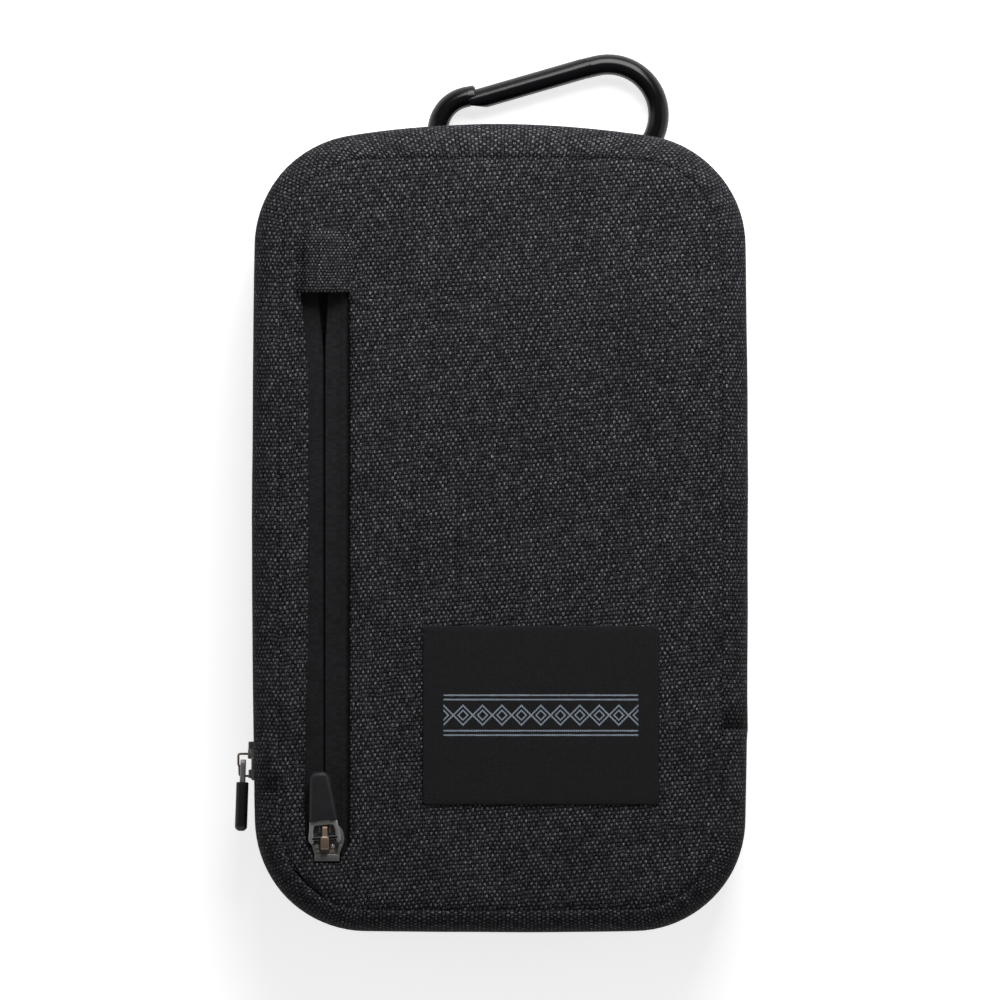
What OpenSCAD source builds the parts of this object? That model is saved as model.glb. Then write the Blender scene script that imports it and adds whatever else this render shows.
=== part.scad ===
// Zipped phone pouch with a card pocket, a back loop and a snap hook, lying on its back.
// X runs across, Y along towards the hook, Z out of the front face.
// The origin is the centre of the flat back.

/* [Pouch] */
// Width across the side walls
pouch_w = 102; // [98:1:112]
// Length from the bottom to the top
pouch_l = 166.2; // [162:0.2:180]
// Depth of the room inside, between the two linings
cavity_d = 12.75; // [11:0.25:18]
// Radius of the two top corners
top_corner_r = 23; // [21:0.5:32]
// Radius of the two bottom corners
bottom_corner_r = 23; // [20:0.5:28]
// Radius of the slight bow of each side wall
side_bow_r = 3200; // [2600:100:6000]
// Radius of the bow of the top
top_bow_r = 200; // [180:10:600]
// Radius of the bow of the bottom, and of both ends of the panels
bottom_bow_r = 1350; // [800:50:2000]

/* [Rim] */
// Distance from the side wall to the seam round the panel
side_rim_w = 5.2; // [4.5:0.1:7]
// The same distance at the top
top_rim_w = 7; // [5:0.1:8]
// The same distance at the bottom
bottom_rim_w = 4.5; // [4:0.1:7]
// Depth over which the rounded shoulder falls to the side wall
shoulder_d = 6.2; // [5:0.1:7]
// How far the rim lies below the panel's face
rim_drop = 0.3; // [0.1:0.1:0.8]
// Depth of the sewn crease below the panel's face
crease_d = 0.9; // [0.6:0.1:1.4]

/* [Layers] */
// Thickness of the canvas of the rim bands
band_t = 0.8; // [0.6:0.1:1]
// Thickness of the bonded canvas of the front panel
front_panel_t = 1.4; // [1.2:0.1:1.6]
// Thickness of the bonded canvas of the back panel
back_panel_t = 1.2; // [1:0.1:1.6]
// Thickness of the foam boards
foam_t = 2.7; // [2:0.1:3.2]
// Thickness of the lining cloth
lining_t = 0.35; // [0.2:0.05:0.5]
// Gap between two plies that lie on each other
ply_gap = 0.05; // [0.02:0.01:0.1]

/* [Main zip] */
// Width of the zip strip that shows between the two rims
zip_strip_w = 8.4; // [8.2:0.1:9]
// Distance from the bottom to the zip's end on the right
right_zip_from = 41.7; // [33:0.1:53]
// Distance from the bottom to the zip's end on the left
left_zip_from = 28.7; // [27:0.1:43]
// Thickness of the zip tapes
tape_t = 0.5; // [0.3:0.1:0.7]
// Width of each tape of the main zip
main_tape_w = 6; // [5:0.1:7]
// Diameter of the coils
coil_d = 1.4; // [1:0.1:1.6]
// Gap between the two rows of a zip
row_gap = 1; // [0.9:0.1:1.4]
// Length of the stops that close the ends of the main zip
stop_l = 1.1; // [0.8:0.1:1.2]
// Gap along a seam between two pieces of canvas
seam_gap = 0.2; // [0.1:0.05:0.4]

/* [Card pocket] */
// Distance from the left side to the middle of the pocket's zip
pocket_from = 15; // [14.5:0.5:21]
// Width of the slit cut in the front panel
slit_w = 9.8; // [9:0.1:11]
// Distance from the bottom to the slit's lower end
slit_from = 14.4; // [13.8:0.1:23]
// Distance from the top to the garage's open edge
garage_from = 34.7; // [31:0.1:37]
// Length of the garage
garage_l = 13.3; // [11:0.1:15]
// How far the garage rises over the front panel
garage_h = 3.3; // [3.1:0.1:3.6]
// Width of the garage at its closed end
garage_top_w = 8.6; // [8:0.1:9.4]
// Thickness of the garage's moulded canvas
garage_t = 0.8; // [0.6:0.1:0.9]
// Width of each tape of the pocket zip
pocket_tape_w = 5.9; // [5:0.1:6]
// Depth of the room in the pocket, from the panel's underside to the foam
pocket_room = 3.4; // [3.4:0.1:3.8]
// Thickness of the pocket's bag cloth
bag_t = 0.25; // [0.15:0.05:0.3]

/* [Label] */
// Width of the woven label
label_w = 48.5; // [30:0.5:56]
// Height of the woven label
label_l = 36.7; // [20:0.5:44]
// Place of the label's middle across the front
label_x = 8.4; // [0:0.2:12]
// Distance from the bottom to the label's middle
label_from = 44.7; // [38:0.1:103]
// Thickness of the label
label_t = 0.5; // [0.3:0.1:0.8]

/* [Sliders] */
// Width of a slider across its wings
slider_w = 7.6; // [7.2:0.1:8]
// Width of a slider's nose
nose_w = 5.2; // [4.6:0.1:6]
// Length of a slider
slider_l = 8; // [7.8:0.1:9]
// Thickness of a slider's outer plate
outer_plate_t = 0.85; // [0.6:0.05:1]
// Thickness of a slider's inner plate
inner_plate_t = 0.75; // [0.5:0.05:0.75]
// Clearance of a slider round the tapes and coils
slider_clear = 0.2; // [0.15:0.01:0.2]
// Length of the bridge that holds the pull
bridge_l = 5; // [4.6:0.1:5.4]
// Width of the bridge
bridge_w = 1.6; // [1.2:0.1:2]
// Thickness of the bridge's strip
bridge_t = 0.6; // [0.4:0.1:0.7]
// Height of the pocket pull's crossbar over the slider plate
pocket_pivot_h = 1; // [0.9:0.05:1.1]
// Height of the main pull's crossbar over the slider plate
main_pivot_h = 1.7; // [1.4:0.05:2]
// Distance from the slit's lower end to the pocket pull's crossbar, zip open
pocket_pivot_from = 5.1; // [5:0.1:19]
// Distance from the zip's left end to the main pull's crossbar, zip closed
main_pivot_from = 5.7; // [5.6:0.1:14]

/* [Pulls] */
// Length from the crossbar to the sleeve's end
pull_l = 13.6; // [12:0.1:14]
// Distance from the crossbar to the sleeve
sleeve_from = 3.5; // [3.5:0.1:4.5]
// Width of the sleeve where it starts
sleeve_w = 6; // [5:0.1:6.2]
// Width of the sleeve at its tip
sleeve_tip_w = 4.1; // [3.4:0.1:5]
// Thickness of the sleeve
sleeve_t = 2.5; // [2:0.1:2.5]
// Width of the metal ring
ring_w = 6.2; // [5.8:0.1:6.4]
// Width of the metal ring's window
ring_window_w = 4.4; // [4:0.1:4.6]
// Thickness of the metal ring
ring_t = 1.2; // [1:0.1:1.4]
// Diameter of the crossbar
crossbar_d = 1.1; // [0.9:0.05:1.2]
// Lean of the pocket pull to the left
pull_lean = 5; // [0:1:5]
// Lean of the main pull away from the side wall
side_lean = 2; // [0:0.5:4]

/* [Back loop] */
// Width of the webbing
webbing_w = 12; // [8:0.5:16]
// Thickness of the webbing
webbing_t = 1; // [0.8:0.1:1.2]
// Place of the loop across the back
loop_x = 8.3; // [0:0.1:14]
// Distance from the top to the seam between back panel and yoke
yoke_from = 23.1; // [21:0.1:27]
// Distance from that seam to where the two plies of the loop part
loop_fork_from = 6; // [5:0.1:7]
// Clearance of the loop round the hook's rod
loop_clear = 0.25; // [0.15:0.05:0.4]

/* [Snap hook] */
// Diameter of the hook's rod
rod_d = 4.1; // [3.6:0.1:4.4]
// Distance from the top to the hook's straight spine
spine_from = 8.3; // [6.2:0.1:8.4]
// Place of the small bend's centre across the pouch
small_bend_x = -5.6; // [-8:0.1:-4]
// Radius of the small bend
small_bend_r = 7.1; // [6.8:0.1:8]
// Place of the large bend's centre across the pouch
large_bend_x = 22.3; // [20:0.1:25]
// Radius of the large bend
large_bend_r = 10.4; // [10:0.1:11.5]
// Length of rod between the large bend and the gate's pin
hinge_run = 3.2; // [3:0.1:4]
// Length of rod between the small bend and the nose
nose_run = 0.9; // [0.6:0.1:1.2]
// Length of the nose's lip over the gate
lip_l = 1.7; // [1.2:0.1:2]
// How far the gate's end lies below the nose
gate_drop = 1.1; // [0.6:0.1:1.2]
// Clearance round the gate
gate_clear = 0.2; // [0.15:0.05:0.3]
// Thickness of the tongue that holds the gate
tongue_t = 1.3; // [1:0.1:1.5]
// Diameter of the gate's pin
pin_d = 1; // [0.8:0.05:1.1]
// Length of the spring in the gate
spring_l = 6; // [4:0.5:8]
// Wire of the spring
spring_wire_d = 0.3; // [0.2:0.05:0.35]
// Diameter of the bore that holds the spring
spring_bore_d = 2; // [1.8:0.1:2.1]

/* [Hidden] */
$fn = 48;

// Finishes
canvas_color = "#3a3b40";
foam_color = "#6a6c70";
lining_color = "#4d5056";
tape_color = "#232327";
coil_color = "#17171a";
label_color = "#1c1c1e";
metal_color = "#6b6b6e";
bridge_color = "#a8755a";
rubber_color = "#29292b";
hook_color = "#0f0f11";
steel_color = "#9a9b9e";
webbing_color = "#1a1a1d";

// Overrun of every cut
cut_over = 2;
// Facets of the swept outlines
side_steps = 4;
corner_steps = 8;
end_steps = 5;
shoulder_step = 13;

// Outlines: half width, half length, middle height, and the corner radius and bow of the top and the bottom
half_w = pouch_w / 2;
half_l = pouch_l / 2;
right_zip_end = right_zip_from - half_l;
left_zip_end = left_zip_from - half_l;
body_outline = [half_w, half_l, 0, top_corner_r, bottom_corner_r, top_bow_r, bottom_bow_r];
panel_outline = [half_w - side_rim_w, half_l - (top_rim_w + bottom_rim_w) / 2,
    (bottom_rim_w - top_rim_w) / 2, top_corner_r - side_rim_w, bottom_corner_r - side_rim_w,
    bottom_bow_r, bottom_bow_r];

// Stretches of an outline: 0 is all round, 1 over the top, -1 under the bottom
all_round = [0];
over_top = [1, right_zip_end, left_zip_end];
under_bottom = [-1, right_zip_end - seam_gap, left_zip_end - seam_gap];
coil_run = [1, right_zip_end + stop_l + seam_gap, left_zip_end + stop_l + seam_gap];
hinge_top = -half_l + bottom_corner_r;
hinge_run_ends = [-1, hinge_top, hinge_top];

// Depths, measured inwards from the front face or the back face
well_d = front_panel_t + pocket_room;
front_foam_d = well_d + foam_t;
front_lining_d = front_foam_d + ply_gap;
back_foam_d = back_panel_t + ply_gap;
back_lining_d = back_foam_d + foam_t + ply_gap;
pouch_d = back_lining_d + lining_t + cavity_d + lining_t + front_lining_d;
split_z = pouch_d / 2;
strip_edge_d = (pouch_d - zip_strip_w) / 2;
fold_edge_d = split_z - seam_gap / 2;
back_wall_h = strip_edge_d - seam_gap;
tape_in = band_t + ply_gap;
foam_off = tape_in + tape_t + ply_gap;
ledge_w = 1.6;
ledge_in = 0.6;
foam_wall_in = foam_off + foam_t - lining_t;
panel_seam = 0.15;

// Pocket zip and label
slit_x = pocket_from - half_w;
slit_low = slit_from - half_l;
label_y = label_from - half_l;
garage_low = half_l - garage_from;
garage_high = garage_low + garage_l;
slit_top = garage_high - garage_t - ledge_w;
pocket_tape_z = pouch_d - front_panel_t - ply_gap;
row_edge = row_gap / 2;
pocket_coil_z = pocket_tape_z - tape_t - ply_gap - coil_d / 2;
pocket_row_low = slit_low - seam_gap;
pocket_stop_l = 1;
bag_in = ledge_in + ledge_w + ply_gap;

// Sliders, in their own frame: X across the zip, Y towards the wings, Z out of the tape
pocket_pivot_y = slit_low + pocket_pivot_from;
main_pivot_y = left_zip_end + main_pivot_from;
pivot_ahead = 0.8;
post_w = row_gap - 2 * slider_clear;
post_l = 2;
post_back = 0.6;
flange_in = row_edge + coil_d + slider_clear + ply_gap;
flange_w = 0.8;
wing_l = 3.2;
nose_l = 2.2;
stack_t = tape_t + coil_d + ply_gap;
main_play = 0.44;
side_sink = sink(half_l / 2);

// Pulls, in their own frame: X along the crossbar, Y towards the tip, Z out of the slider
ring_bar_w = 0.6;
tang_l = 6;
tang_w = 2.6;
tang_clear = 0.05;
sleeve_bevel = 0.6;
sleeve_core_t = 1.3;
bridge_round = 1.2;

// Back loop and hook
yoke_y = half_l - yoke_from;
loop_fork_y = yoke_y + loop_fork_from;
spine_y = half_l - spine_from;
rod_r = rod_d / 2;
eye_in_r = rod_r + loop_clear;
eye_out_r = eye_in_r + webbing_t;
rod_z = -ply_gap - eye_out_r;
tack_t = 0.3;
tack_l = 1.3;
small_centre = [small_bend_x, spine_y + small_bend_r];
large_centre = [large_bend_x, spine_y + large_bend_r];
centre_line = large_centre - small_centre;
lean_a = asin((large_bend_r - small_bend_r) / norm(centre_line)) + atan2(centre_line.y, centre_line.x);
along = [cos(lean_a), sin(lean_a)];
outward = [-sin(lean_a), cos(lean_a)];
gate_pivot = large_centre + large_bend_r * outward - hinge_run * along;
nose_end = small_centre + small_bend_r * outward + nose_run * along;
gate_end = nose_end + (gate_clear + ply_gap) * along - gate_drop * outward;
gate_line = gate_pivot - gate_end;
gate_a = atan2(gate_line.y, gate_line.x);
gate_l = norm(gate_line);
tongue_r = rod_r - gate_clear;
head_r = rod_r + gate_clear;
head_bite = 0.3;

// How far the bowed side wall lies inside its widest line at a height
function sink(y) = y * y / (2 * side_bow_r);

// Points on an arc, the last one left out
function arc(c, r, a, b, n) =
    [for (k = [0:n - 1]) c + r * [cos(a + (b - a) * k / n), sin(a + (b - a) * k / n)]];

// Centre of the corner arc that meets the bowed side and the bowed end
function corner_centre(hw, hl, r, bow) =
    let (side_c = [hw - side_bow_r, 0],
        end_c = [0, hl - bow],
        to_side = side_bow_r - r,
        to_end = bow - r,
        gap = norm(end_c - side_c),
        dir = (end_c - side_c) / gap,
        run = (to_side * to_side - to_end * to_end + gap * gap) / (2 * gap))
    side_c + run * dir + sqrt(to_side * to_side - run * run) * [-dir.y, dir.x];

// A quarter of the outline, from the right side at height low to the middle of the end
function quarter(hw, hl, r, bow, inset, low) =
    let (side_c = [hw - side_bow_r, 0],
        end_c = [0, hl - bow],
        c = corner_centre(hw, hl, r, bow),
        side_a = atan2(c.y - side_c.y, c.x - side_c.x),
        end_a = atan2(c.y - end_c.y, c.x - end_c.x))
    concat(arc(side_c, side_bow_r - inset, asin(low / (side_bow_r - inset)), side_a, side_steps),
        arc(c, r - inset, side_a, end_a, corner_steps),
        arc(end_c, bow - inset, end_a, 90, end_steps),
        [[0, hl - inset]]);

// Joins a right and a left quarter, turned over when side is -1
function halves(right, left, side) =
    let (path = concat([for (p = right) p],
            [for (k = [len(left) - 2:-1:0]) [-left[k].x, left[k].y]]))
    side > 0 ? path : [for (k = [len(path) - 1:-1:0]) [path[k].x, -path[k].y]];

// One stretch of an outline at an inset, anticlockwise
function stretch(o, inset, ends) =
    let (side = ends[0],
        mid = o[2],
        r = side > 0 ? o[3] : o[4],
        bow = side > 0 ? o[5] : o[6],
        path = halves(quarter(o[0], o[1], r, bow, inset, side * (ends[1] - mid)),
            quarter(o[0], o[1], r, bow, inset, side * (ends[2] - mid)), side))
    [for (p = path) [p.x, p.y + mid]];

function whole(o, inset) =
    let (top = stretch(o, inset, [1, o[2], o[2]]),
        low = stretch(o, inset, [-1, o[2], o[2]]))
    concat(top, [for (k = [1:len(low) - 2]) low[k]]);

function outline(o, inset, ends) = len(ends) == 1 ? whole(o, inset) : stretch(o, inset, ends);

// A ring between the body's outline, at share 0, and the panel's, at share 1
function ring(ends, share, inset, z) =
    let (a = outline(body_outline, inset, ends),
        b = outline(panel_outline, inset, ends))
    [for (k = [0:len(a) - 1])
        let (p = a[k] * (1 - share) + b[k] * share)
        [p.x, p.y, z]];

// Height of a depth below the front face, or above the back face
function level(front, depth) = front ? pouch_d - depth : depth;

// The rounded shoulder at a distance below its surface, from angle a to angle b
function shoulder(ends, front, off, angles) =
    [for (t = angles)
        ring(ends, 1 - sin(t), off * sin(t),
            level(front, rim_drop + shoulder_d * (1 - cos(t)) + off * cos(t)))];
falling = [for (t = [12:shoulder_step:90]) t];
rising = [for (t = [90:-shoulder_step:12]) t];

// Skin over a list of rings. An open list gets a lid at each end,
// a list that closes on itself makes a band, whose ends are capped where its path is open.
module loft(rings, loop = false, wraps = true, flipped = false) {
    m = len(rings);
    n = len(rings[0]);
    function at(i, j) = (i % m) * n + j % n;
    function facing(f) = flipped ? [f[0], f[2], f[1]] : f;
    function lid(f) = flipped ? [for (k = [len(f) - 1:-1:0]) f[k]] : f;
    walls = [for (i = [0:m - (loop ? 1 : 2)], j = [0:n - (wraps ? 1 : 2)],
        f = [[at(i, j), at(i, j + 1), at(i + 1, j + 1)], [at(i, j), at(i + 1, j + 1), at(i + 1, j)]])
        facing(f)];
    lids = loop ? [] : [lid([for (j = [n - 1:-1:0]) at(0, j)]), lid([for (j = [0:n - 1]) at(m - 1, j)])];
    ends = wraps ? [] : [for (i = [0:m / 2 - 2], j = [0, n - 1],
        f = [[at(i, j), at(i + 1, j), at(m - 2 - i, j)], [at(i, j), at(m - 2 - i, j), at(m - 1 - i, j)]])
        facing(j == 0 ? f : [f[0], f[2], f[1]])];
    polyhedron(points = [for (r = rings) each r], faces = concat(walls, lids, ends), convexity = 6);
}

// A canvas band of the rim, from the crease over the shoulder to depth edge_d
module rim_band(ends, front, edge_d) {
    loft(concat([ring(ends, 1, 0, level(front, crease_d))],
            shoulder(ends, front, 0, falling),
            [ring(ends, 0, 0, level(front, edge_d))],
            [ring(ends, 0, band_t, level(front, edge_d))],
            shoulder(ends, front, band_t, rising),
            [ring(ends, 1, 0, level(front, crease_d + band_t))]),
        loop = true, wraps = false, flipped = front);
}

// A strip along the side wall, between two insets and two heights
module wall_strip(ends, inset, thick, low, high) {
    loft([ring(ends, 0, inset, low), ring(ends, 0, inset, high),
            ring(ends, 0, inset + thick, high), ring(ends, 0, inset + thick, low)],
        loop = true, wraps = false);
}

// A coil row along the side wall
module wall_coil(z) {
    r = coil_d / 2;
    middle = tape_in + tape_t + ply_gap + r;
    loft([for (a = [22.5:45:360]) ring(coil_run, 0, middle - r * cos(a), z + r * sin(a))],
        loop = true, wraps = false);
}

// A flat sheet with an outline of the panel's or the body's family
module sheet(o, inset, low, thick) {
    translate([0, 0, low])
        linear_extrude(thick)
            polygon(whole(o, inset));
}

module back_panel() {
    color(canvas_color)
        intersection() {
            sheet(panel_outline, panel_seam, 0, back_panel_t);
            translate([-pouch_w / 2, -pouch_l, -cut_over])
                cube([pouch_w, pouch_l + yoke_y - seam_gap / 2, pouch_d]);
        }
}

module back_yoke() {
    color(canvas_color)
        intersection() {
            sheet(panel_outline, panel_seam, 0, back_panel_t);
            translate([-pouch_w / 2, yoke_y + seam_gap / 2, -cut_over])
                cube([pouch_w, pouch_l, pouch_d]);
        }
}

module back_foam() {
    color(foam_color)
        loft(concat([ring(all_round, 0, foam_wall_in, back_foam_d + foam_t),
                ring(all_round, 0, foam_wall_in, back_wall_h),
                ring(all_round, 0, foam_off, back_wall_h)],
            shoulder(all_round, false, foam_off, rising),
            [ring(all_round, 1, 0, crease_d + band_t + ply_gap),
                ring(all_round, 1, ledge_in, back_foam_d)]), flipped = true);
}

module back_lining() {
    outer = foam_wall_in + ply_gap;
    color(lining_color)
        loft([ring(all_round, 0, outer + lining_t, back_lining_d + lining_t),
                ring(all_round, 0, outer + lining_t, back_wall_h),
                ring(all_round, 0, outer, back_wall_h),
                ring(all_round, 0, outer, back_lining_d)], flipped = true);
}

module back_band() {
    color(canvas_color)
        rim_band(over_top, false, strip_edge_d);
}

module back_lower_band() {
    color(canvas_color)
        rim_band(under_bottom, false, fold_edge_d);
}

module back_zip_tape() {
    color(tape_color)
        wall_strip(over_top, tape_in, tape_t, split_z - row_edge - main_tape_w, split_z - row_edge);
}

module back_zip_coil() {
    color(coil_color)
        wall_coil(split_z - row_edge - coil_d / 2);
}

// Two clamps that close the ends of one row
module row_stops(z) {
    inset = tape_in + tape_t + ply_gap;
    for (side = [-1, 1]) {
        low = side < 0 ? left_zip_end : right_zip_end;
        translate([side * (half_w - inset - coil_d / 2 - sink(low)), low + stop_l / 2 + ply_gap, z])
            cube([coil_d, stop_l, coil_d], center = true);
    }
}

module back_zip_stops() {
    color(metal_color)
        row_stops(split_z - row_edge - coil_d / 2);
}

module hinge_tape() {
    color(lining_color)
        wall_strip(hinge_run_ends, tape_in, tape_t, strip_edge_d, pouch_d - strip_edge_d);
}

// A web folded inwards beside the lower band, which opens as a fan with the cover
gusset_t = 0.3;
gusset_fold = 4;
gusset_steps = side_steps + 2;
gusset_in = foam_wall_in + 2 * lining_t + 2 * ply_gap;
gusset_low = back_lining_d + lining_t + ply_gap;
gusset_high = pouch_d - front_lining_d - lining_t - ply_gap;
module gusset(first) {
    mid = (gusset_low + gusset_high) / 2;
    function run(in, z) =
        let (r = ring(under_bottom, 0, gusset_in + in, z))
        [for (k = [first:first + gusset_steps]) r[k]];
    color(lining_color)
        loft([run(0, gusset_low), run(gusset_fold - gusset_t, mid), run(0, gusset_high),
                run(gusset_t, gusset_high), run(gusset_fold, mid), run(gusset_t, gusset_low)],
            loop = true, wraps = false);
}

module left_gusset() {
    gusset(0);
}

module right_gusset() {
    gusset(2 * (side_steps + corner_steps + end_steps) - gusset_steps);
}

// The side view of the folded loop, X along the pouch and Y out of the back
module loop_profile() {
    eye = [spine_y, -rod_z];
    fork = [loop_fork_y, ply_gap + 2 * webbing_t];
    to_eye = eye - fork;
    rise_a = atan2(to_eye.y, to_eye.x) + asin(eye_out_r / norm(to_eye));
    reach = sqrt(to_eye * to_eye - eye_out_r * eye_out_r);
    tail_y = yoke_y + seam_gap;
    // The ply that lies on the yoke
    translate([tail_y, ply_gap])
        square([spine_y - tail_y, webbing_t]);
    // The ply that comes back down, flat and then rising to the eye
    translate([tail_y, ply_gap + webbing_t])
        square([loop_fork_y - tail_y, webbing_t]);
    translate(fork)
        rotate(rise_a)
            translate([0, -webbing_t])
                square([reach, webbing_t]);
    translate(fork)
        polygon([[0, 0], [0, -webbing_t], webbing_t * [sin(rise_a), -cos(rise_a)]]);
    difference() {
        translate(eye)
            circle(eye_out_r);
        translate(eye)
            circle(eye_in_r);
        translate(eye)
            polygon([[0, 0], [0, -2 * eye_out_r], [-2 * eye_out_r, -2 * eye_out_r],
                2 * eye_out_r * [-1, tan(rise_a)], 2 * eye_out_r * [-sin(rise_a), cos(rise_a)]]);
    }
}

module hang_strap() {
    color(webbing_color)
        translate([loop_x - webbing_w / 2, 0, 0])
            rotate([0, 0, 90])
                rotate([90, 0, 0])
                    mirror([0, 1, 0])
                        linear_extrude(webbing_w)
                            loop_profile();
}

module strap_bartacks() {
    color(tape_color)
        for (y = [yoke_y + tack_l, loop_fork_y - tack_l])
            translate([loop_x - webbing_w / 2 + tack_l, y - tack_l / 2,
                -ply_gap - 2 * webbing_t - tack_t])
                cube([webbing_w - 2 * tack_l, tack_l, tack_t]);
}

module front_panel() {
    bevel = front_panel_t / 3;
    color(canvas_color)
        difference() {
            union() {
                sheet(panel_outline, panel_seam, pouch_d - front_panel_t, front_panel_t - bevel);
                sheet(panel_outline, panel_seam + bevel, pouch_d - front_panel_t, front_panel_t);
            }
            translate([slit_x - slit_w / 2, slit_low, pouch_d - pocket_room])
                cube([slit_w, slit_top - slit_low, pouch_d]);
        }
}

module front_foam() {
    color(foam_color)
        loft(concat([ring(all_round, 0, foam_off, pouch_d - front_foam_d)],
            shoulder(all_round, true, foam_off, rising),
            [ring(all_round, 1, 0, pouch_d - crease_d - band_t - ply_gap),
                ring(all_round, 1, ledge_in, pouch_d - front_panel_t - ply_gap),
                ring(all_round, 1, ledge_in + ledge_w, pouch_d - front_panel_t - ply_gap),
                ring(all_round, 1, ledge_in + ledge_w, pouch_d - well_d)]));
}

module front_lining() {
    color(lining_color)
        sheet(body_outline, foam_off, pouch_d - front_lining_d - lining_t, lining_t);
}

module front_band() {
    color(canvas_color)
        rim_band(over_top, true, strip_edge_d);
}

module front_lower_band() {
    color(canvas_color)
        rim_band(under_bottom, true, fold_edge_d);
}

module front_zip_tape() {
    color(tape_color)
        wall_strip(over_top, tape_in, tape_t, split_z + row_edge, split_z + row_edge + main_tape_w);
}

module front_zip_coil() {
    color(coil_color)
        wall_coil(split_z + row_edge + coil_d / 2);
}

module front_zip_stops() {
    color(metal_color)
        row_stops(split_z + row_edge + coil_d / 2);
}

module label_patch() {
    color(label_color)
        translate([label_x - label_w / 2, label_y - label_l / 2, pouch_d])
            cube([label_w, label_l, label_t]);
}

// A rounded loaf lying along Y, its ends half_a and half_b wide and high_a and high_b high
module loaf(low, high, half_a, high_a, half_b, high_b) {
    hull()
        for (side = [-1, 1]) {
            translate([side * (half_a - high_a), low, 0])
                sphere(high_a, $fn = 20);
            translate([side * (half_b - high_b), high - high_b, 0])
                sphere(high_b, $fn = 20);
        }
}

module pocket_garage() {
    end_h = garage_h - garage_t;
    color(canvas_color)
        translate([slit_x, 0, pouch_d])
            difference() {
                loaf(garage_low, garage_high, slit_w / 2, garage_h, garage_top_w / 2, end_h);
                loaf(garage_low, garage_high - garage_t, slit_w / 2 - garage_t, garage_h - garage_t,
                    garage_top_w / 2 - garage_t, end_h - garage_t);
                translate([-slit_w, garage_low - 2 * garage_h, -2 * garage_h])
                    cube([2 * slit_w, 2 * garage_h, 4 * garage_h]);
                translate([-slit_w, garage_low - garage_h, -2 * garage_h])
                    cube([2 * slit_w, garage_high, 2 * garage_h]);
            }
}

// A tape of the pocket's zip, its lower corner cut to the round of the bag
module pocket_tape(side) {
    color(tape_color)
        intersection() {
            translate([slit_x + (side < 0 ? -row_edge - pocket_tape_w : row_edge),
                pocket_row_low, pocket_tape_z - tape_t])
                cube([pocket_tape_w, slit_top - pocket_row_low, tape_t]);
            sheet(panel_outline, bag_in + bag_t + ply_gap, pouch_d - well_d, well_d);
        }
}

module pocket_tape_left() {
    pocket_tape(-1);
}

module pocket_tape_right() {
    pocket_tape(1);
}

module pocket_coil(side) {
    color(coil_color)
        translate([slit_x + side * (row_edge + coil_d / 2), pocket_row_low, pocket_coil_z])
            rotate([-90, 0, 0])
                cylinder(d = coil_d, h = garage_low - pocket_row_low);
}

module pocket_coil_left() {
    pocket_coil(-1);
}

module pocket_coil_right() {
    pocket_coil(1);
}

module pocket_zip_stops() {
    block_w = 2 * (row_edge + coil_d);
    color(metal_color) {
        translate([slit_x - block_w / 2, pocket_row_low - pocket_stop_l - ply_gap,
            pocket_coil_z - coil_d / 2])
            cube([block_w, pocket_stop_l, coil_d]);
        for (side = [-1, 1])
            translate([slit_x + side * (row_edge + coil_d / 2) - coil_d / 2,
                garage_low + ply_gap, pocket_coil_z - coil_d / 2])
                cube([coil_d, pocket_stop_l, coil_d]);
    }
}

module pocket_bag() {
    wall_h = pocket_room - 2 * ply_gap;
    color(lining_color)
        difference() {
            sheet(panel_outline, bag_in, pouch_d - well_d + ply_gap, wall_h);
            sheet(panel_outline, bag_in + bag_t, pouch_d - well_d + ply_gap + bag_t, wall_h);
        }
}

// Plan of a slider plate: wings ahead, nose behind
module slider_plan() {
    half = slider_l / 2;
    corner = outer_plate_t;
    polygon([[nose_w / 2 - corner, -half], [nose_w / 2, corner - half], [nose_w / 2, nose_l - half],
        [slider_w / 2, half - wing_l], [slider_w / 2, half - corner], [slider_w / 2 - corner, half],
        [corner - slider_w / 2, half], [-slider_w / 2, half - corner], [-slider_w / 2, half - wing_l],
        [-nose_w / 2, nose_l - half], [-nose_w / 2, corner - half], [corner - nose_w / 2, -half]]);
}

// A slider round a tape whose outer face is at Z = 0; the rows are held on the listed sides
module slider_body(play, held) {
    inner_top = -stack_t - slider_clear - play / 2;
    outer_low = slider_clear + play / 2;
    color(metal_color) {
        translate([0, 0, outer_low])
            linear_extrude(outer_plate_t)
                slider_plan();
        translate([0, 0, inner_top - inner_plate_t])
            linear_extrude(inner_plate_t)
                slider_plan();
        translate([-post_w / 2, slider_l / 2 - post_back - post_l, inner_top])
            cube([post_w, post_l, outer_low - inner_top]);
        for (side = held)
            translate([side * (flange_in + flange_w / 2) - flange_w / 2, -slider_l / 2 + nose_l, inner_top])
                cube([flange_w, slider_l - nose_l - post_back, coil_d]);
    }
}

// An arch over the crossbar, standing on the slider plate
module slider_bridge(pivot_h) {
    inner_h = pivot_h + crossbar_d / 2 + slider_clear;
    inner_round = bridge_round - bridge_t;
    color(bridge_color)
        rotate([0, 0, 90])
            rotate([90, 0, 0])
                translate([0, 0, -bridge_w / 2])
                    linear_extrude(bridge_w)
                        difference() {
                            arch(bridge_l, inner_h + bridge_t, bridge_round);
                            translate([0, -cut_over])
                                arch(bridge_l - 2 * bridge_t, inner_h + cut_over, inner_round);
                        }
}

module arch(length, height, r) {
    translate([-length / 2, 0])
        square([length, height - r]);
    translate([-length / 2 + r, 0])
        square([length - 2 * r, height]);
    for (side = [-1, 1])
        translate([side * (length / 2 - r), height - r])
            circle(r);
}

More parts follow.
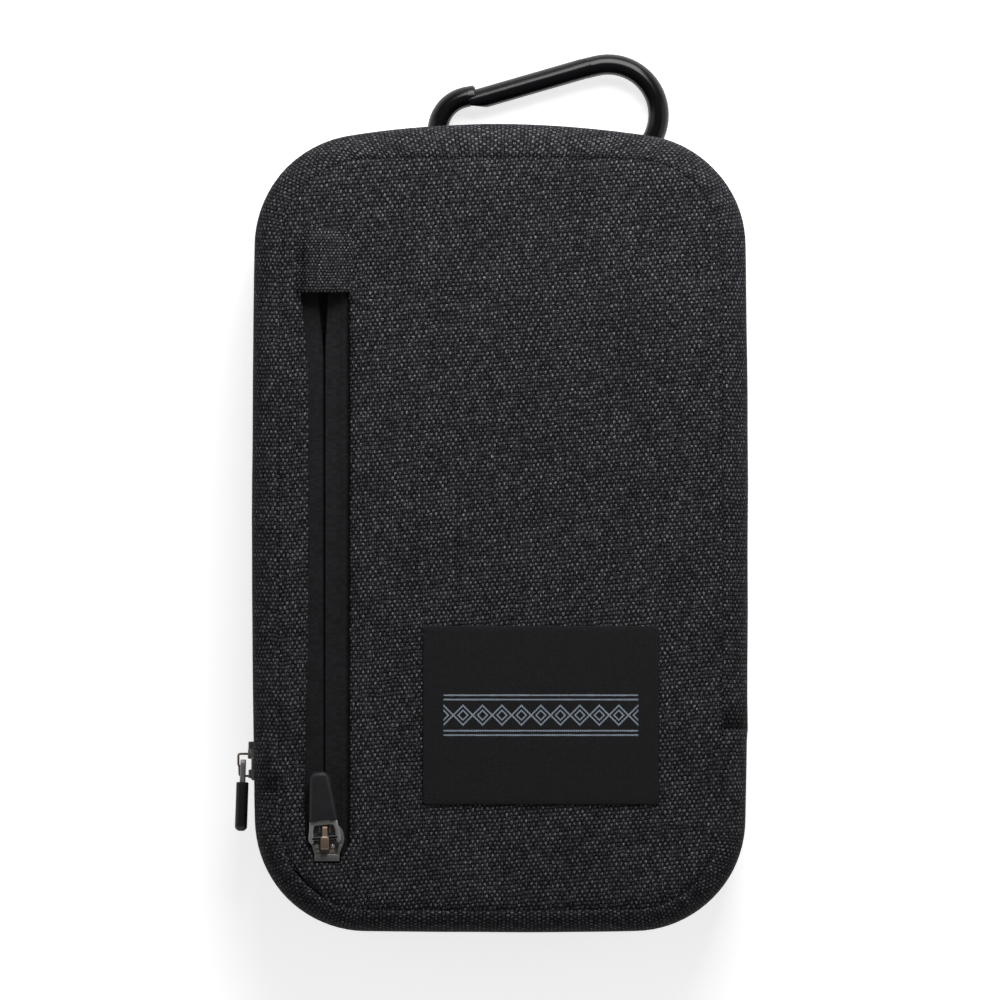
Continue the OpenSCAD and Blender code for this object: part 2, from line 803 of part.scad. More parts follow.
// The metal ring of a pull, with its crossbar and the tang inside the sleeve
module pull_ring() {
    neck_from = sleeve_from - ring_bar_w;
    bar_w = (ring_w - ring_window_w) / 2;
    color(metal_color) {
        translate([0, 0, -ring_t / 2])
            linear_extrude(ring_t) {
                for (side = [-1, 1])
                    polygon([for (p = [[ring_window_w / 2, 0], [ring_w / 2, 0],
                            [sleeve_w / 2, sleeve_from], [ring_window_w / 2, sleeve_from]])
                        [side * p.x, p.y]]);
                translate([-ring_window_w / 2, neck_from])
                    square([ring_window_w, ring_bar_w]);
                translate([-tang_w / 2, neck_from])
                    square([tang_w, tang_l + ring_bar_w]);
            }
        for (side = [-1, 1])
            translate([side * (ring_window_w + bar_w) / 2, 0, 0])
                rotate([0, 90, 0])
                    cylinder(d = ring_t, h = bar_w, center = true);
        rotate([0, 90, 0])
            cylinder(d = crossbar_d, h = ring_window_w + bar_w, center = true);
    }
}

// Plan of the sleeve, drawn in from its edge by inset
module sleeve_plan(inset) {
    tip = sleeve_tip_w / 2;
    polygon([[sleeve_w / 2 - inset, sleeve_from + ply_gap], [tip - inset, pull_l - tip / 2],
        [tip / 2 - inset / 2, pull_l - inset], [-tip / 2 + inset / 2, pull_l - inset],
        [inset - tip, pull_l - tip / 2], [inset - sleeve_w / 2, sleeve_from + ply_gap]]);
}

module pull_sleeve() {
    color(rubber_color)
        difference() {
            hull() {
                linear_extrude(sleeve_core_t, center = true)
                    sleeve_plan(0);
                linear_extrude(sleeve_t, center = true)
                    sleeve_plan(sleeve_bevel);
            }
            translate([-tang_w / 2 - tang_clear, 0, -ring_t / 2 - tang_clear])
                cube([tang_w + 2 * tang_clear, sleeve_from + tang_l + tang_clear,
                    ring_t + 2 * tang_clear]);
        }
}

// Frame of the main slider: on the left wall, wings down, Z out of the wall
module on_main(lift, ahead) {
    tape_x = tape_in - half_w + side_sink;
    translate([tape_x - lift, main_pivot_y + pivot_ahead - ahead, split_z])
        rotate([0, -90, 0])
            rotate([0, 0, 180])
                children();
}

// Frame of the pocket slider: on the front face, wings up
module on_pocket(lift, ahead) {
    translate([slit_x, pocket_pivot_y - pivot_ahead + ahead, pocket_tape_z + lift])
        children();
}

main_plate_top = slider_clear + main_play / 2 + outer_plate_t;
pocket_plate_top = slider_clear + outer_plate_t;

module main_slider_body() {
    on_main(0, 0)
        slider_body(main_play, [1]);
}

module main_slider_bridge() {
    on_main(main_plate_top, pivot_ahead)
        slider_bridge(main_pivot_h);
}

module main_pull_ring() {
    on_main(main_plate_top + main_pivot_h, pivot_ahead)
        rotate([side_lean, 0, 0])
            pull_ring();
}

module main_pull_sleeve() {
    on_main(main_plate_top + main_pivot_h, pivot_ahead)
        rotate([side_lean, 0, 0])
            pull_sleeve();
}

module pocket_slider_body() {
    on_pocket(0, 0)
        slider_body(0, [-1, 1]);
}

module pocket_slider_bridge() {
    on_pocket(pocket_plate_top, pivot_ahead)
        slider_bridge(pocket_pivot_h);
}

module pocket_pull_ring() {
    on_pocket(pocket_plate_top + pocket_pivot_h, pivot_ahead)
        rotate([0, 0, pull_lean])
            pull_ring();
}

module pocket_pull_sleeve() {
    on_pocket(pocket_plate_top + pocket_pivot_h, pivot_ahead)
        rotate([0, 0, pull_lean])
            pull_sleeve();
}

// Frame with X along the nose's rod and Y outwards
module at_nose() {
    translate([nose_end.x, nose_end.y, rod_z])
        rotate([0, 0, lean_a])
            children();
}

// Frame with X from the gate's free end to its pin
module at_gate(where, angle) {
    translate([where.x, where.y, rod_z])
        rotate([0, 0, angle])
            children();
}

module rod(length) {
    rotate([0, 90, 0])
        cylinder(r = rod_r, h = length);
}

// A bend that leaves one end of the spine and turns outwards
module bend(centre, r, side, turn) {
    translate([centre.x, centre.y, rod_z])
        rotate([0, 0, -90])
            mirror([0, side < 0 ? 1 : 0, 0])
                rotate_extrude(angle = turn)
                    translate([r, 0])
                        circle(rod_r);
}

// The thicker end of the rod, at the nose and at the gate's pin
module head(length) {
    rotate([0, 90, 0])
        cylinder(r = head_r, h = length);
}

module hook_body() {
    color(hook_color) {
        translate([small_bend_x, spine_y, rod_z])
            rod(large_bend_x - small_bend_x);
        bend(small_centre, small_bend_r, -1, 180 - lean_a);
        bend(large_centre, large_bend_r, 1, 180 + lean_a);
        at_nose()
            difference() {
                translate([-nose_run - head_bite, 0, 0])
                    head(nose_run + head_bite + lip_l);
                translate([0, -2 * rod_d, -rod_d])
                    cube([lip_l + cut_over, 2 * rod_d, 2 * rod_d]);
            }
        at_gate(gate_pivot, lean_a) {
            difference() {
                head(hinge_run + head_bite);
                cylinder(r = head_r, h = 2 * rod_d, center = true);
            }
            difference() {
                translate([0, 0, -tongue_t / 2])
                    linear_extrude(tongue_t) {
                        circle(tongue_r);
                        translate([0, -tongue_r])
                            square([hinge_run - gate_clear, 2 * tongue_r]);
                    }
                cylinder(d = pin_d, h = rod_d, center = true);
            }
        }
    }
}

module hook_gate() {
    root = tongue_r + gate_clear;
    slot_h = tongue_t + gate_clear;
    color(hook_color)
        difference() {
            at_gate(gate_pivot, gate_a) {
                translate([-gate_l, 0, 0])
                    rod(gate_l);
                sphere(rod_r);
            }
            at_gate(gate_pivot, gate_a) {
                translate([-root, -rod_d, -slot_h / 2])
                    cube([2 * root + cut_over, 2 * rod_d, slot_h]);
                cylinder(d = pin_d + ply_gap, h = 2 * rod_d, center = true);
                translate([-root - spring_l - gate_clear, 0, 0])
                    rotate([0, 90, 0])
                        cylinder(d = spring_bore_d, h = spring_l + root);
            }
            at_nose()
                translate([-cut_over, -gate_clear, -rod_d])
                    cube([cut_over + lip_l + gate_clear, 2 * rod_d, 2 * rod_d]);
        }
}

module gate_pin() {
    color(steel_color)
        at_gate(gate_pivot, 0)
            cylinder(d = pin_d, h = rod_d - gate_clear, center = true);
}

// A coil spring along the gate, its turns made by one swept tube
spring_turns = 7;
spring_steps = 8;
module gate_spring() {
    root = tongue_r + gate_clear;
    wire_r = spring_wire_d / 2;
    coil_r = spring_bore_d / 2 - wire_r - gate_clear;
    last = spring_turns * spring_steps;
    pitch = (spring_l - spring_wire_d) / last;
    color(steel_color)
        at_gate(gate_pivot, gate_a)
            translate([-root - spring_l + wire_r, 0, 0])
                loft([for (k = [0:last]) let (a = 360 * k / spring_steps)
                    [for (b = [0:60:300])
                        [k * pitch + wire_r * sin(b), (coil_r + wire_r * cos(b)) * cos(a),
                            (coil_r + wire_r * cos(b)) * sin(a)]]]);
}

back_panel();
back_yoke();
back_foam();
back_lining();
back_band();
back_lower_band();
back_zip_tape();
back_zip_coil();
back_zip_stops();
hinge_tape();
left_gusset();
right_gusset();
hang_strap();
strap_bartacks();
front_panel();
front_foam();
front_lining();
front_band();
front_lower_band();
front_zip_tape();
front_zip_coil();
front_zip_stops();
label_patch();
pocket_garage();
pocket_tape_left();
pocket_tape_right();
pocket_coil_left();
pocket_coil_right();
pocket_zip_stops();
pocket_bag();
main_slider_body();
main_slider_bridge();
main_pull_ring();
main_pull_sleeve();
pocket_slider_body();
pocket_slider_bridge();
pocket_pull_ring();
pocket_pull_sleeve();
hook_body();
hook_gate();
gate_pin();
gate_spring();
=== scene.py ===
from math import asin, atan2, copysign, cos, pi, radians, sin, sqrt, tan, tau
import bpy
import bmesh
from mathutils import Matrix, Vector, noise


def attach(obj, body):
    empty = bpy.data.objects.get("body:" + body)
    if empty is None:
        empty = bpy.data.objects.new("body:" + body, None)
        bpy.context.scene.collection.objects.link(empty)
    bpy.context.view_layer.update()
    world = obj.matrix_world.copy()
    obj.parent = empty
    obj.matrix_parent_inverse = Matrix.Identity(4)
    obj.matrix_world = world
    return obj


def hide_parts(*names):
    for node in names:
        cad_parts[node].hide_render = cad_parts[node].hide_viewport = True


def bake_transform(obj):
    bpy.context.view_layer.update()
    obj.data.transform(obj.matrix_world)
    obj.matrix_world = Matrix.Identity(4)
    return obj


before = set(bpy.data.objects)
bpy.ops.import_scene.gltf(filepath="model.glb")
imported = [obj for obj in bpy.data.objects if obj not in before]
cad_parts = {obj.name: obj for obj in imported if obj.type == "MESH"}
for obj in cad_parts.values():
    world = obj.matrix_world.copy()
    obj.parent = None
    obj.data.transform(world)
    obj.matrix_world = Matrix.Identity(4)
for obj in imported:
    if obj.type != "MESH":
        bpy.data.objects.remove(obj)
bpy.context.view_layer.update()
mm = 0.001   # everything below is drawn in millimetres and made metres at the end
print("frame loaded")


# Colours and nodes

def linearColour(hexText):
    # sRGB hex to the linear values that shaders want
    parts = [int(hexText[k:k + 2], 16) / 255 for k in (1, 3, 5)]
    return [c / 12.92 if c <= 0.04045 else ((c + 0.055) / 1.055) ** 2.4 for c in parts] + [1.0]


def addNode(tree, kind, links=(), **settings):
    # one shader node with its settings, and its sockets set or linked: in their order or by name; a node
    # stands for its first output
    node = tree.nodes.new("ShaderNode" + kind)
    for name, value in settings.items():
        setattr(node, name, value)
    for name, value in links.items() if isinstance(links, dict) else enumerate(links):
        if isinstance(value, bpy.types.Node):
            value = value.outputs[0]
        if isinstance(value, bpy.types.NodeSocket):
            tree.links.new(value, node.inputs[name])
        else:
            node.inputs[name].default_value = value
    return node


def startMaterial(name):
    material = bpy.data.materials.new(name)
    material.use_nodes = True
    tree = material.node_tree
    tree.nodes.clear()
    return material, tree


def endMaterial(tree, colour, normal, **shader):
    # the shader takes its numbers on its own sockets, and only patterns by links
    sockets = {name.replace("_", " "): value for name, value in shader.items()}
    node = addNode(tree, "BsdfPrincipled", {**sockets, "Base Color": colour, "Normal": normal})
    addNode(tree, "OutputMaterial", {"Surface": node})


def rampStops(node, stops):
    # colour stops of a ramp, from (place, hex) pairs
    ramp = node.color_ramp
    while len(ramp.elements) < len(stops):
        ramp.elements.new(0.5)
    for element, (place, hexText) in zip(ramp.elements, stops):
        element.position = place
        element.color = linearColour(hexText)
    return node


# wander, stray: how often and how far the rows stray; over, dip: how a thread dips under the next; shade: how
# each thread's tone drifts; chance: how much a crossing's own tone counts; blunt: how round the painted crest
# highlights are
weave = {"wander": 0.35, "stray": 0.7, "over": 0.6, "dip": 0.25, "shade": 1.37, "chance": 0.5, "blunt": (0.5, 0.9)}


def plainWeave(tree, pitchU, pitchV, drift, warp=1.0):
    # two sets of threads that pass over and under each other; pitches in mm of the cloth's own map
    uv = addNode(tree, "UVMap", uv_map="cloth").outputs["UV"]
    wander = addNode(tree, "TexNoise", {"Vector": uv, "Scale": weave["wander"], "Detail": 1.0}).outputs["Color"]
    pushed = addNode(tree, "VectorMath", [wander, (weave["stray"], weave["stray"], 0)], operation="MULTIPLY")
    uv = addNode(tree, "VectorMath", [uv, pushed], operation="ADD")
    cells = addNode(tree, "VectorMath", [uv, (1 / pitchU, 1 / pitchV, 0)], operation="MULTIPLY")
    both = addNode(tree, "SeparateXYZ", [cells]).outputs
    waves, humps, shades = [], [], []
    for axis in (0, 1):
        turn = addNode(tree, "Math", [both[axis], pi], operation="MULTIPLY")
        waves.append(addNode(tree, "Math", [turn], operation="SINE"))
        humps.append(addNode(tree, "Math", [waves[axis]], operation="ABSOLUTE"))
        # each thread has its own shade, which drifts along its length
        strand = addNode(tree, "Math", [both[axis]], operation="FLOOR")
        length = addNode(tree, "Math", [both[1 - axis], drift], operation="MULTIPLY")
        point = addNode(tree, "CombineXYZ", [strand, length, 7.3 * axis])
        shades.append(addNode(tree, "TexNoise", {"Vector": point, "Scale": weave["shade"], "Detail": 2.0}))
    cross = addNode(tree, "Math", [waves[0], waves[1]], operation="MULTIPLY")
    tops = []
    for hump, low, high in ((humps[0], weave["dip"], 1.0), (humps[1], 1.0, weave["dip"])):
        lift = addNode(tree, "MapRange", [cross, -weave["over"], weave["over"], low, high],
                       interpolation_type="SMOOTHSTEP")
        tops.append(addNode(tree, "Math", [hump, lift], operation="MULTIPLY"))
    height = addNode(tree, "Math", [tops[0], tops[1]], operation="MAXIMUM")
    warpOver = addNode(tree, "Math", [tops[0], tops[1]], operation="GREATER_THAN")
    shade = addNode(tree, "Mix", {0: warpOver, 2: shades[1], 3: shades[0]})
    # and each crossing sits a little higher or lower in the film
    crossing = addNode(tree, "VectorMath", [cells], operation="FLOOR")
    chance = addNode(tree, "TexWhiteNoise", [crossing])
    shade = addNode(tree, "Mix", {0: weave["chance"], 2: shade, 3: chance})
    # painted highlight on each thread's crest: a pale dot where the weft comes over, a darker one where the warp
    # does; the gaps between threads go dark as painted shade
    paintedCrestLight = addNode(tree, "MapRange", [cross, -0.1, 0.25, 1.0, warp])
    for hump, power in zip(humps, weave["blunt"]):
        side = addNode(tree, "Math", [hump, power], operation="POWER")
        paintedCrestLight = addNode(tree, "Math", [paintedCrestLight, side], operation="MULTIPLY")
    return uv, height, shade, paintedCrestLight


def wovenCloth(name, settings):
    material, tree = startMaterial(name)
    uv, height, shade, paintedCrestLight = plainWeave(tree, settings["pitchU"], settings["pitchV"], settings["drift"],
                                         settings.get("warp", 1.0))
    colour = rampStops(addNode(tree, "ValToRGB", [shade]), settings["threads"])
    # single fibres that catch the light or don't, and patches that are worn a little paler
    lustre = settings["fibre"]
    # painted highlight on the crests, and painted shade down to the gap's tone between the threads
    tone = addNode(tree, "MapRange", [paintedCrestLight, 0.05, 0.95, settings["gap"], 1.0])
    for scale, detail, low, dim, bright in (
            (5.0, 1.0, 0.5 - 0.2 * min(1, 1 / lustre), max(0, 1 - lustre), 1 + lustre), (0.09, 3.0, 0.3, 0.88, 1.12)):
        spots = addNode(tree, "TexNoise", {"Vector": uv, "Scale": scale, "Detail": detail})
        spots = addNode(tree, "MapRange", [spots, low, 0.7, dim, bright])
        tone = addNode(tree, "Math", [tone, spots], operation="MULTIPLY")
    colour = addNode(tree, "VectorMath", [colour, tone], operation="MULTIPLY")
    swell = addNode(tree, "TexNoise", {"Vector": uv, "Scale": 0.055, "Detail": 1.0})
    normal = addNode(tree, "Bump", {"Height": swell, "Distance": settings["swell"] * mm, "Strength": 1.0})
    normal = addNode(tree, "Bump", {"Height": height, "Distance": settings["relief"] * mm, "Strength": 1.0,
                                    "Normal": normal})
    endMaterial(tree, colour, normal, **settings["shader"])
    return material


# Charcoal heather polyester, plain woven from thick yarn and film-coated: painted shade in the gaps, grey yarn with
# painted highlight on its crests, a few pale flecks and a dull sheen
canvas = wovenCloth("coatedHeatherCanvas", {
    "pitchU": 0.5, "pitchV": 0.82, "drift": 0.3, "gap": 0.06, "swell": 0.4, "relief": 0.14, "warp": 0.3,
    "fibre": 1.25,
    "threads": ((0.12, "#38383b"), (0.5, "#5a5a5f"), (0.78, "#78787e"), (0.92, "#acacb4")),
    "shader": {"Roughness": 0.7, "Specular_IOR_Level": 0.03}})

# Nylon pocket and lining cloth, fine plain weave, dyed dark grey: even, slightly silky
lining = wovenCloth("nylonLining", {
    "pitchU": 0.4, "pitchV": 0.4, "drift": 0.2, "gap": 0.7, "swell": 1.2, "relief": 0.03, "fibre": 0.1,
    "threads": ((0.2, "#36383c"), (0.8, "#484a4f")),
    "shader": {"Roughness": 0.5, "Specular_IOR_Level": 0.4, "Sheen_Weight": 0.05}})

# Polyester zip tape with a film laminated over it, which makes it shut out water: smooth, satin, near black
zipTape = wovenCloth("filmCoatedZipTape", {
    "pitchU": 0.9, "pitchV": 0.45, "drift": 0.2, "gap": 0.85, "swell": 0.3, "relief": 0.015, "fibre": 0.1,
    "threads": ((0.2, "#18181a"), (0.8, "#252528")),
    "shader": {"Roughness": 0.5, "Specular_IOR_Level": 0.2, "Sheen_Weight": 0.01}})

# Woven nylon webbing: coarse ribs across, dull black
webbing = wovenCloth("nylonWebbing", {
    "pitchU": 1.5, "pitchV": 0.8, "drift": 0.3, "gap": 0.45, "swell": 0.2, "relief": 0.25, "fibre": 0.1,
    "threads": ((0.2, "#131315"), (0.8, "#29292c")),
    "shader": {"Roughness": 0.7, "Specular_IOR_Level": 0.3, "Sheen_Weight": 0.04}})


def plainFinish(name, colours, grainMm, relief, **shader):
    # a solid finish with a small drift of colour and a fine grain, both from Object coordinates
    material, tree = startMaterial(name)
    place = addNode(tree, "TexCoord").outputs["Object"]
    drift = addNode(tree, "TexNoise", {"Vector": place, "Scale": 0.35 / mm, "Detail": 3.0})
    colour = rampStops(addNode(tree, "ValToRGB", [drift]), ((0.3, colours[0]), (0.7, colours[1])))
    grain = addNode(tree, "TexNoise", {"Vector": place, "Scale": 1 / (grainMm * mm), "Detail": 2.0})
    bump = addNode(tree, "Bump", {"Height": grain, "Distance": relief * mm, "Strength": 1.0})
    endMaterial(tree, colour, bump, **shader)
    return material


# Nylon coil, extruded monofilament: shiny black loops
coilNylon = plainFinish("nylonCoil", ("#121214", "#1d1d20"), 0.5, 0.01, Roughness=0.35)
# Spun polyester sewing thread: soft black with a little lustre
thread = plainFinish("polyesterThread", ("#1a1a1c", "#2b2b2e"), 0.2, 0.03, Roughness=0.6, Sheen_Weight=0.2)
# Zinc casting with a gunmetal plating, tumbled: soft grey metal, slightly uneven
gunmetal = plainFinish("platedZincGunmetal", ("#6a6968", "#767472"), 0.35, 0.02, Metallic=0.5, Roughness=0.48)
# The same casting painted lighter on the pull ring, which stands up into the light: painted highlight
paintedLitRingMetal = plainFinish("handledZincGunmetal", ("#939290", "#9f9d9a"), 0.35, 0.02, Metallic=0.5, Roughness=0.48)
# The same casting painted lighter on the lumps, feet and ribs in the slider's window: painted highlight
paintedHighlightZinc = plainFinish("rubbedZinc", ("#8d8a87", "#aaa6a2"), 0.3, 0.02, Metallic=0.6, Roughness=0.35)
# Steel strip with a worn copper-coloured plating
bridgeMetal = plainFinish("copperPlatedStrip", ("#7c6a5c", "#8c7868"), 0.3, 0.02, Metallic=0.6, Roughness=0.45)
# Moulded rubber: black, satin, a very fine spark-eroded grain
rubber = plainFinish("mouldedRubber", ("#232325", "#2a2a2d"), 0.16, 0.012, Roughness=0.48, Specular_IOR_Level=0.25)
# Aluminium rod, bent and lacquered gloss black: dark with clear highlights
lacquer = plainFinish("blackLacquer", ("#08080a", "#0d0d10"), 2.0, 0.01, Roughness=0.2, Specular_IOR_Level=0.35)
# The pulls' crossbar, the same casting coloured nearly black: painted shade where it lies under the bridge strip in
# the ring's window
paintedShadeBar = plainFinish("blackPlatedBar", ("#0b0b0c", "#141415"), 0.4, 0.01, Roughness=0.3, Specular_IOR_Level=0.4)
# Turned steel pin and drawn spring wire
steel = plainFinish("drawnSteel", ("#8d8e92", "#a5a6aa"), 0.1, 0.005, Metallic=1.0, Roughness=0.3)


diamonds = {"halfRun": 20.0, "half": 2.0, "pale": "#b9c6d6",
            "forms": (("edge", 2.0, 0.22), ("edge", 1.0, 0.2), ("up", 3.2, 0.16), ("up", 4.1, 0.16))}


def labelCloth():
    # Damask label, woven fine in black polyester, with a plain band of small diamonds in pale thread
    material, tree = startMaterial("damaskLabel")
    uv, height, shade, paintedCrestLight = plainWeave(tree, 0.36, 0.24, 0.2)
    ground = rampStops(addNode(tree, "ValToRGB", [shade]), ((0.2, "#17171a"), (0.8, "#202022")))
    across, up, out = addNode(tree, "SeparateXYZ", [addNode(tree, "UVMap", uv_map="cloth").outputs["UV"]]).outputs
    up = addNode(tree, "Math", [up], operation="ABSOLUTE")
    inside = addNode(tree, "Math", [across], operation="ABSOLUTE")
    inside = addNode(tree, "Math", [inside, diamonds["halfRun"]], operation="LESS_THAN")
    # two diamonds, one in the other, and two lines: less than half a thread's width from each one's outline
    fold = addNode(tree, "Math", [across, diamonds["half"]], operation="PINGPONG")
    edge = addNode(tree, "Math", [fold, up], operation="ADD")
    drawn = 0.0
    for measure, size, width in diamonds["forms"]:
        off = addNode(tree, "Math", [edge if measure == "edge" else up, size], operation="SUBTRACT")
        off = addNode(tree, "Math", [off], operation="ABSOLUTE")
        form = addNode(tree, "Math", [off, width], operation="LESS_THAN")
        drawn = addNode(tree, "Math", [drawn, form], operation="MAXIMUM")
    for within in (inside, height):
        drawn = addNode(tree, "Math", [drawn, within], operation="MULTIPLY")
    colour = addNode(tree, "Mix", {0: drawn, 6: ground, 7: linearColour(diamonds["pale"])},
                     data_type="RGBA").outputs[2]
    lift = addNode(tree, "Math", [drawn, height], operation="ADD")
    bump = addNode(tree, "Bump", {"Height": lift, "Distance": 0.04 * mm, "Strength": 1.0})
    endMaterial(tree, colour, bump, Roughness=0.65, Specular_IOR_Level=0.15)
    return material


label = labelCloth()


def floorPaper():
    # white paper, which glows white to the camera, reflections and clear parts, and still takes the pouch's shadow
    material, tree = startMaterial("whitePaper")
    rays = addNode(tree, "LightPath").outputs
    seen = rays["Is Camera Ray"]
    for ray in ("Is Glossy Ray", "Is Transmission Ray"):
        seen = addNode(tree, "Math", [seen, rays[ray]], operation="MAXIMUM")
    paper = addNode(tree, "BsdfDiffuse", {"Color": linearColour("#e0e0e0")})
    glow = addNode(tree, "Emission", {"Color": (1, 1, 1, 1), "Strength": 0.74})
    glow = addNode(tree, "AddShader", [paper, glow])
    shown = addNode(tree, "MixShader", [seen, paper, glow])
    addNode(tree, "OutputMaterial", {"Surface": shown})
    return material


paper = floorPaper()
print("finishes made")


# The outline that the whole pouch is drawn from, in mm

outline = {
    "depth": 25.0, "split": 12.5,
    "sideBowR": 3200.0,
    "body": {"halfW": 51.0, "halfL": 83.1, "mid": 0.0, "cornerR": 23.0, "topBowR": 200.0, "bottomBowR": 1350.0},
    "panel": {"halfW": 45.8, "halfL": 77.35, "mid": -1.25, "cornerR": 17.8, "topBowR": 1350.0, "bottomBowR": 1350.0},
    "sideSteps": 16, "cornerSteps": 20, "endSteps": 10,
    "zipRight": -41.4, "zipLeft": -54.4, "hingeTop": -60.1,
    "rimDrop": 0.3, "shoulder": 6.2, "spine": 31,
}
allRound = (0, 0, 0)
overTop = (1, outline["zipRight"], outline["zipLeft"])
underBottom = (-1, outline["zipRight"], outline["zipLeft"])
hingeRun = (-1, outline["hingeTop"], outline["hingeTop"])


def arcPath(centre, r, a, b, steps):
    return [(centre.x + r * cos(a + (b - a) * k / steps), centre.y + r * sin(a + (b - a) * k / steps))
            for k in range(steps)]


def quarterPath(shape, top, inset, low):
    # from the right side at height low, round the corner, to the middle of the end
    r, bow = shape["cornerR"], shape["topBowR"] if top else shape["bottomBowR"]
    side = Vector((shape["halfW"] - outline["sideBowR"], 0))
    end = Vector((0, shape["halfL"] - bow))
    toSide, toEnd = outline["sideBowR"] - r, bow - r
    gap = (end - side).length
    way = (end - side) / gap
    run = (toSide ** 2 - toEnd ** 2 + gap ** 2) / (2 * gap)
    corner = side + way * run + Vector((-way.y, way.x)) * sqrt(toSide ** 2 - run ** 2)
    sideTurn = atan2(corner.y - side.y, corner.x - side.x)
    endTurn = atan2(corner.y - end.y, corner.x - end.x)
    start = asin(low / (outline["sideBowR"] - inset))
    return (arcPath(side, outline["sideBowR"] - inset, start, sideTurn, outline["sideSteps"])
            + arcPath(corner, r - inset, sideTurn, endTurn, outline["cornerSteps"])
            + arcPath(end, bow - inset, endTurn, pi / 2, outline["endSteps"])
            + [(0.0, shape["halfL"] - inset)])


def stretchPath(shape, inset, run):
    side, right, left = run
    mid = shape["mid"]
    if side == 0:
        upper = stretchPath(shape, inset, (1, mid, mid))
        return upper + stretchPath(shape, inset, (-1, mid, mid))[1:-1]
    top = side > 0
    path = quarterPath(shape, top, inset, side * (right - mid))
    path += [(-x, y) for x, y in reversed(quarterPath(shape, top, inset, side * (left - mid))[:-1])]
    if side < 0:
        path = [(x, -y) for x, y in reversed(path)]
    return [(x, y + mid) for x, y in path]


def ringRow(run, share, inset, z):
    # share 0 is the side wall's outline, share 1 the panel's
    outer = stretchPath(outline["body"], inset, run)
    inner = stretchPath(outline["panel"], inset, run)
    return [Vector((a[0] + (b[0] - a[0]) * share, a[1] + (b[1] - a[1]) * share, z)) for a, b in zip(outer, inner)]


def level(front, depth):
    return outline["depth"] - depth if front else depth


def shoulderRow(run, front, off, degrees):
    t = radians(degrees)
    depth = outline["rimDrop"] + outline["shoulder"] * (1 - cos(t)) + off * cos(t)
    return ringRow(run, 1 - sin(t), off * sin(t), level(front, depth))


def closingRows(row, steps):
    # rings that close a flat face: each point goes to the nearest point of a line along Y
    middle, reach = outline["panel"]["mid"], outline["spine"]
    rows = []
    for k in range(1, steps + 1):
        s = 1 - k / steps
        rows.append([Vector((p.x * s, (p.y - middle) * s + (1 - s) * max(-reach, min(reach, p.y - middle)) + middle,
                             p.z)) for p in row])
    return rows


# Cloth from rows of points

def clothFromRows(rows, closed=False):
    # the first row is drawn as a thread of edges, and each next row is extruded from the last one
    bm = bmesh.new()
    place = bm.verts.layers.int.new("place")
    span = bm.verts.layers.float_vector.new("span")
    count = len(rows[0])
    links = count if closed else count - 1
    longest = max(rows, key=lambda row: sum((row[k + 1] - row[k]).length for k in range(count - 1)))
    along = [0.0]
    for k in range(links):
        along.append(along[-1] + (longest[(k + 1) % count] - longest[k]).length)
    first = [bm.verts.new(p) for p in rows[0]]
    for k, vert in enumerate(first):
        vert[place] = k
        vert[span] = (along[k], 0, 0)
    edges = [bm.edges.new((first[k], first[(k + 1) % count])) for k in range(links)]
    height = 0.0
    for before, row in zip(rows, rows[1:]):
        height += sum((b - a).length for a, b in zip(before, row)) / count
        made = bmesh.ops.extrude_edge_only(bm, edges=edges)["geom"]
        verts = {g for g in made if isinstance(g, bmesh.types.BMVert)}
        edges = [g for g in made if isinstance(g, bmesh.types.BMEdge) and set(g.verts) <= verts]
        for vert in verts:
            vert.co = row[vert[place]]
            vert[span] = (along[vert[place]], height, 0)
    uv = bm.loops.layers.uv.new("cloth")
    for face in bm.faces:
        across = [corner.vert[span].x for corner in face.loops]
        wraps = closed and max(across) - min(across) > along[-1] / 2
        for corner, u in zip(face.loops, across):
            corner[uv].uv = (u + along[-1] if wraps and u < along[-1] / 2 else u, corner.vert[span].y)
    bmesh.ops.remove_doubles(bm, verts=bm.verts, dist=0.004)
    return bm


def mapFlat(bm, middle=(0, 0), slant=0.0, fine=1.0, flat=0.0):
    # cloth laid flat: its rows may rise to the right, or be finer; steeper faces than flat keep their map
    uv = bm.loops.layers.uv.get("cloth") or bm.loops.layers.uv.new("cloth")
    bm.normal_update()
    for face in bm.faces:
        if abs(face.normal.z) < flat:
            continue
        for corner in face.loops:
            x, y = corner.vert.co.x - middle[0], corner.vert.co.y - middle[1]
            corner[uv].uv = (x * fine, (y - slant * x) * fine)


def faceAway(bm, centre=(0, 0, 12.5)):
    # an open shell's faces turned away from a point
    bm.normal_update()
    middle = Vector(centre)
    if sum((f.calc_center_median() - middle).dot(f.normal) * f.calc_area() for f in bm.faces) < 0:
        bmesh.ops.reverse_faces(bm, faces=bm.faces)
    bm.normal_update()


def settle(bm, amount, size, seed=0.0, held=None):
    # slow, small waves, as in cloth that has been handled; held is the height at which a sewn edge lets go
    bm.normal_update()
    span = bm.verts.layers.float_vector.get("span")
    for vert in bm.verts:
        grow = 1.0 if held is None else min(1.0, max(0.0, vert[span].y / held - 1))
        vert.co += vert.normal * amount * grow * noise.noise(vert.co / size + Vector((seed, seed, seed)))


def meshFrom(bm, name):
    mesh = bpy.data.meshes.new(name)
    bm.to_mesh(mesh)
    bm.free()
    return mesh


def addObject(name, data):
    thing = bpy.data.objects.new(name, data)
    bpy.context.scene.collection.objects.link(thing)
    return thing


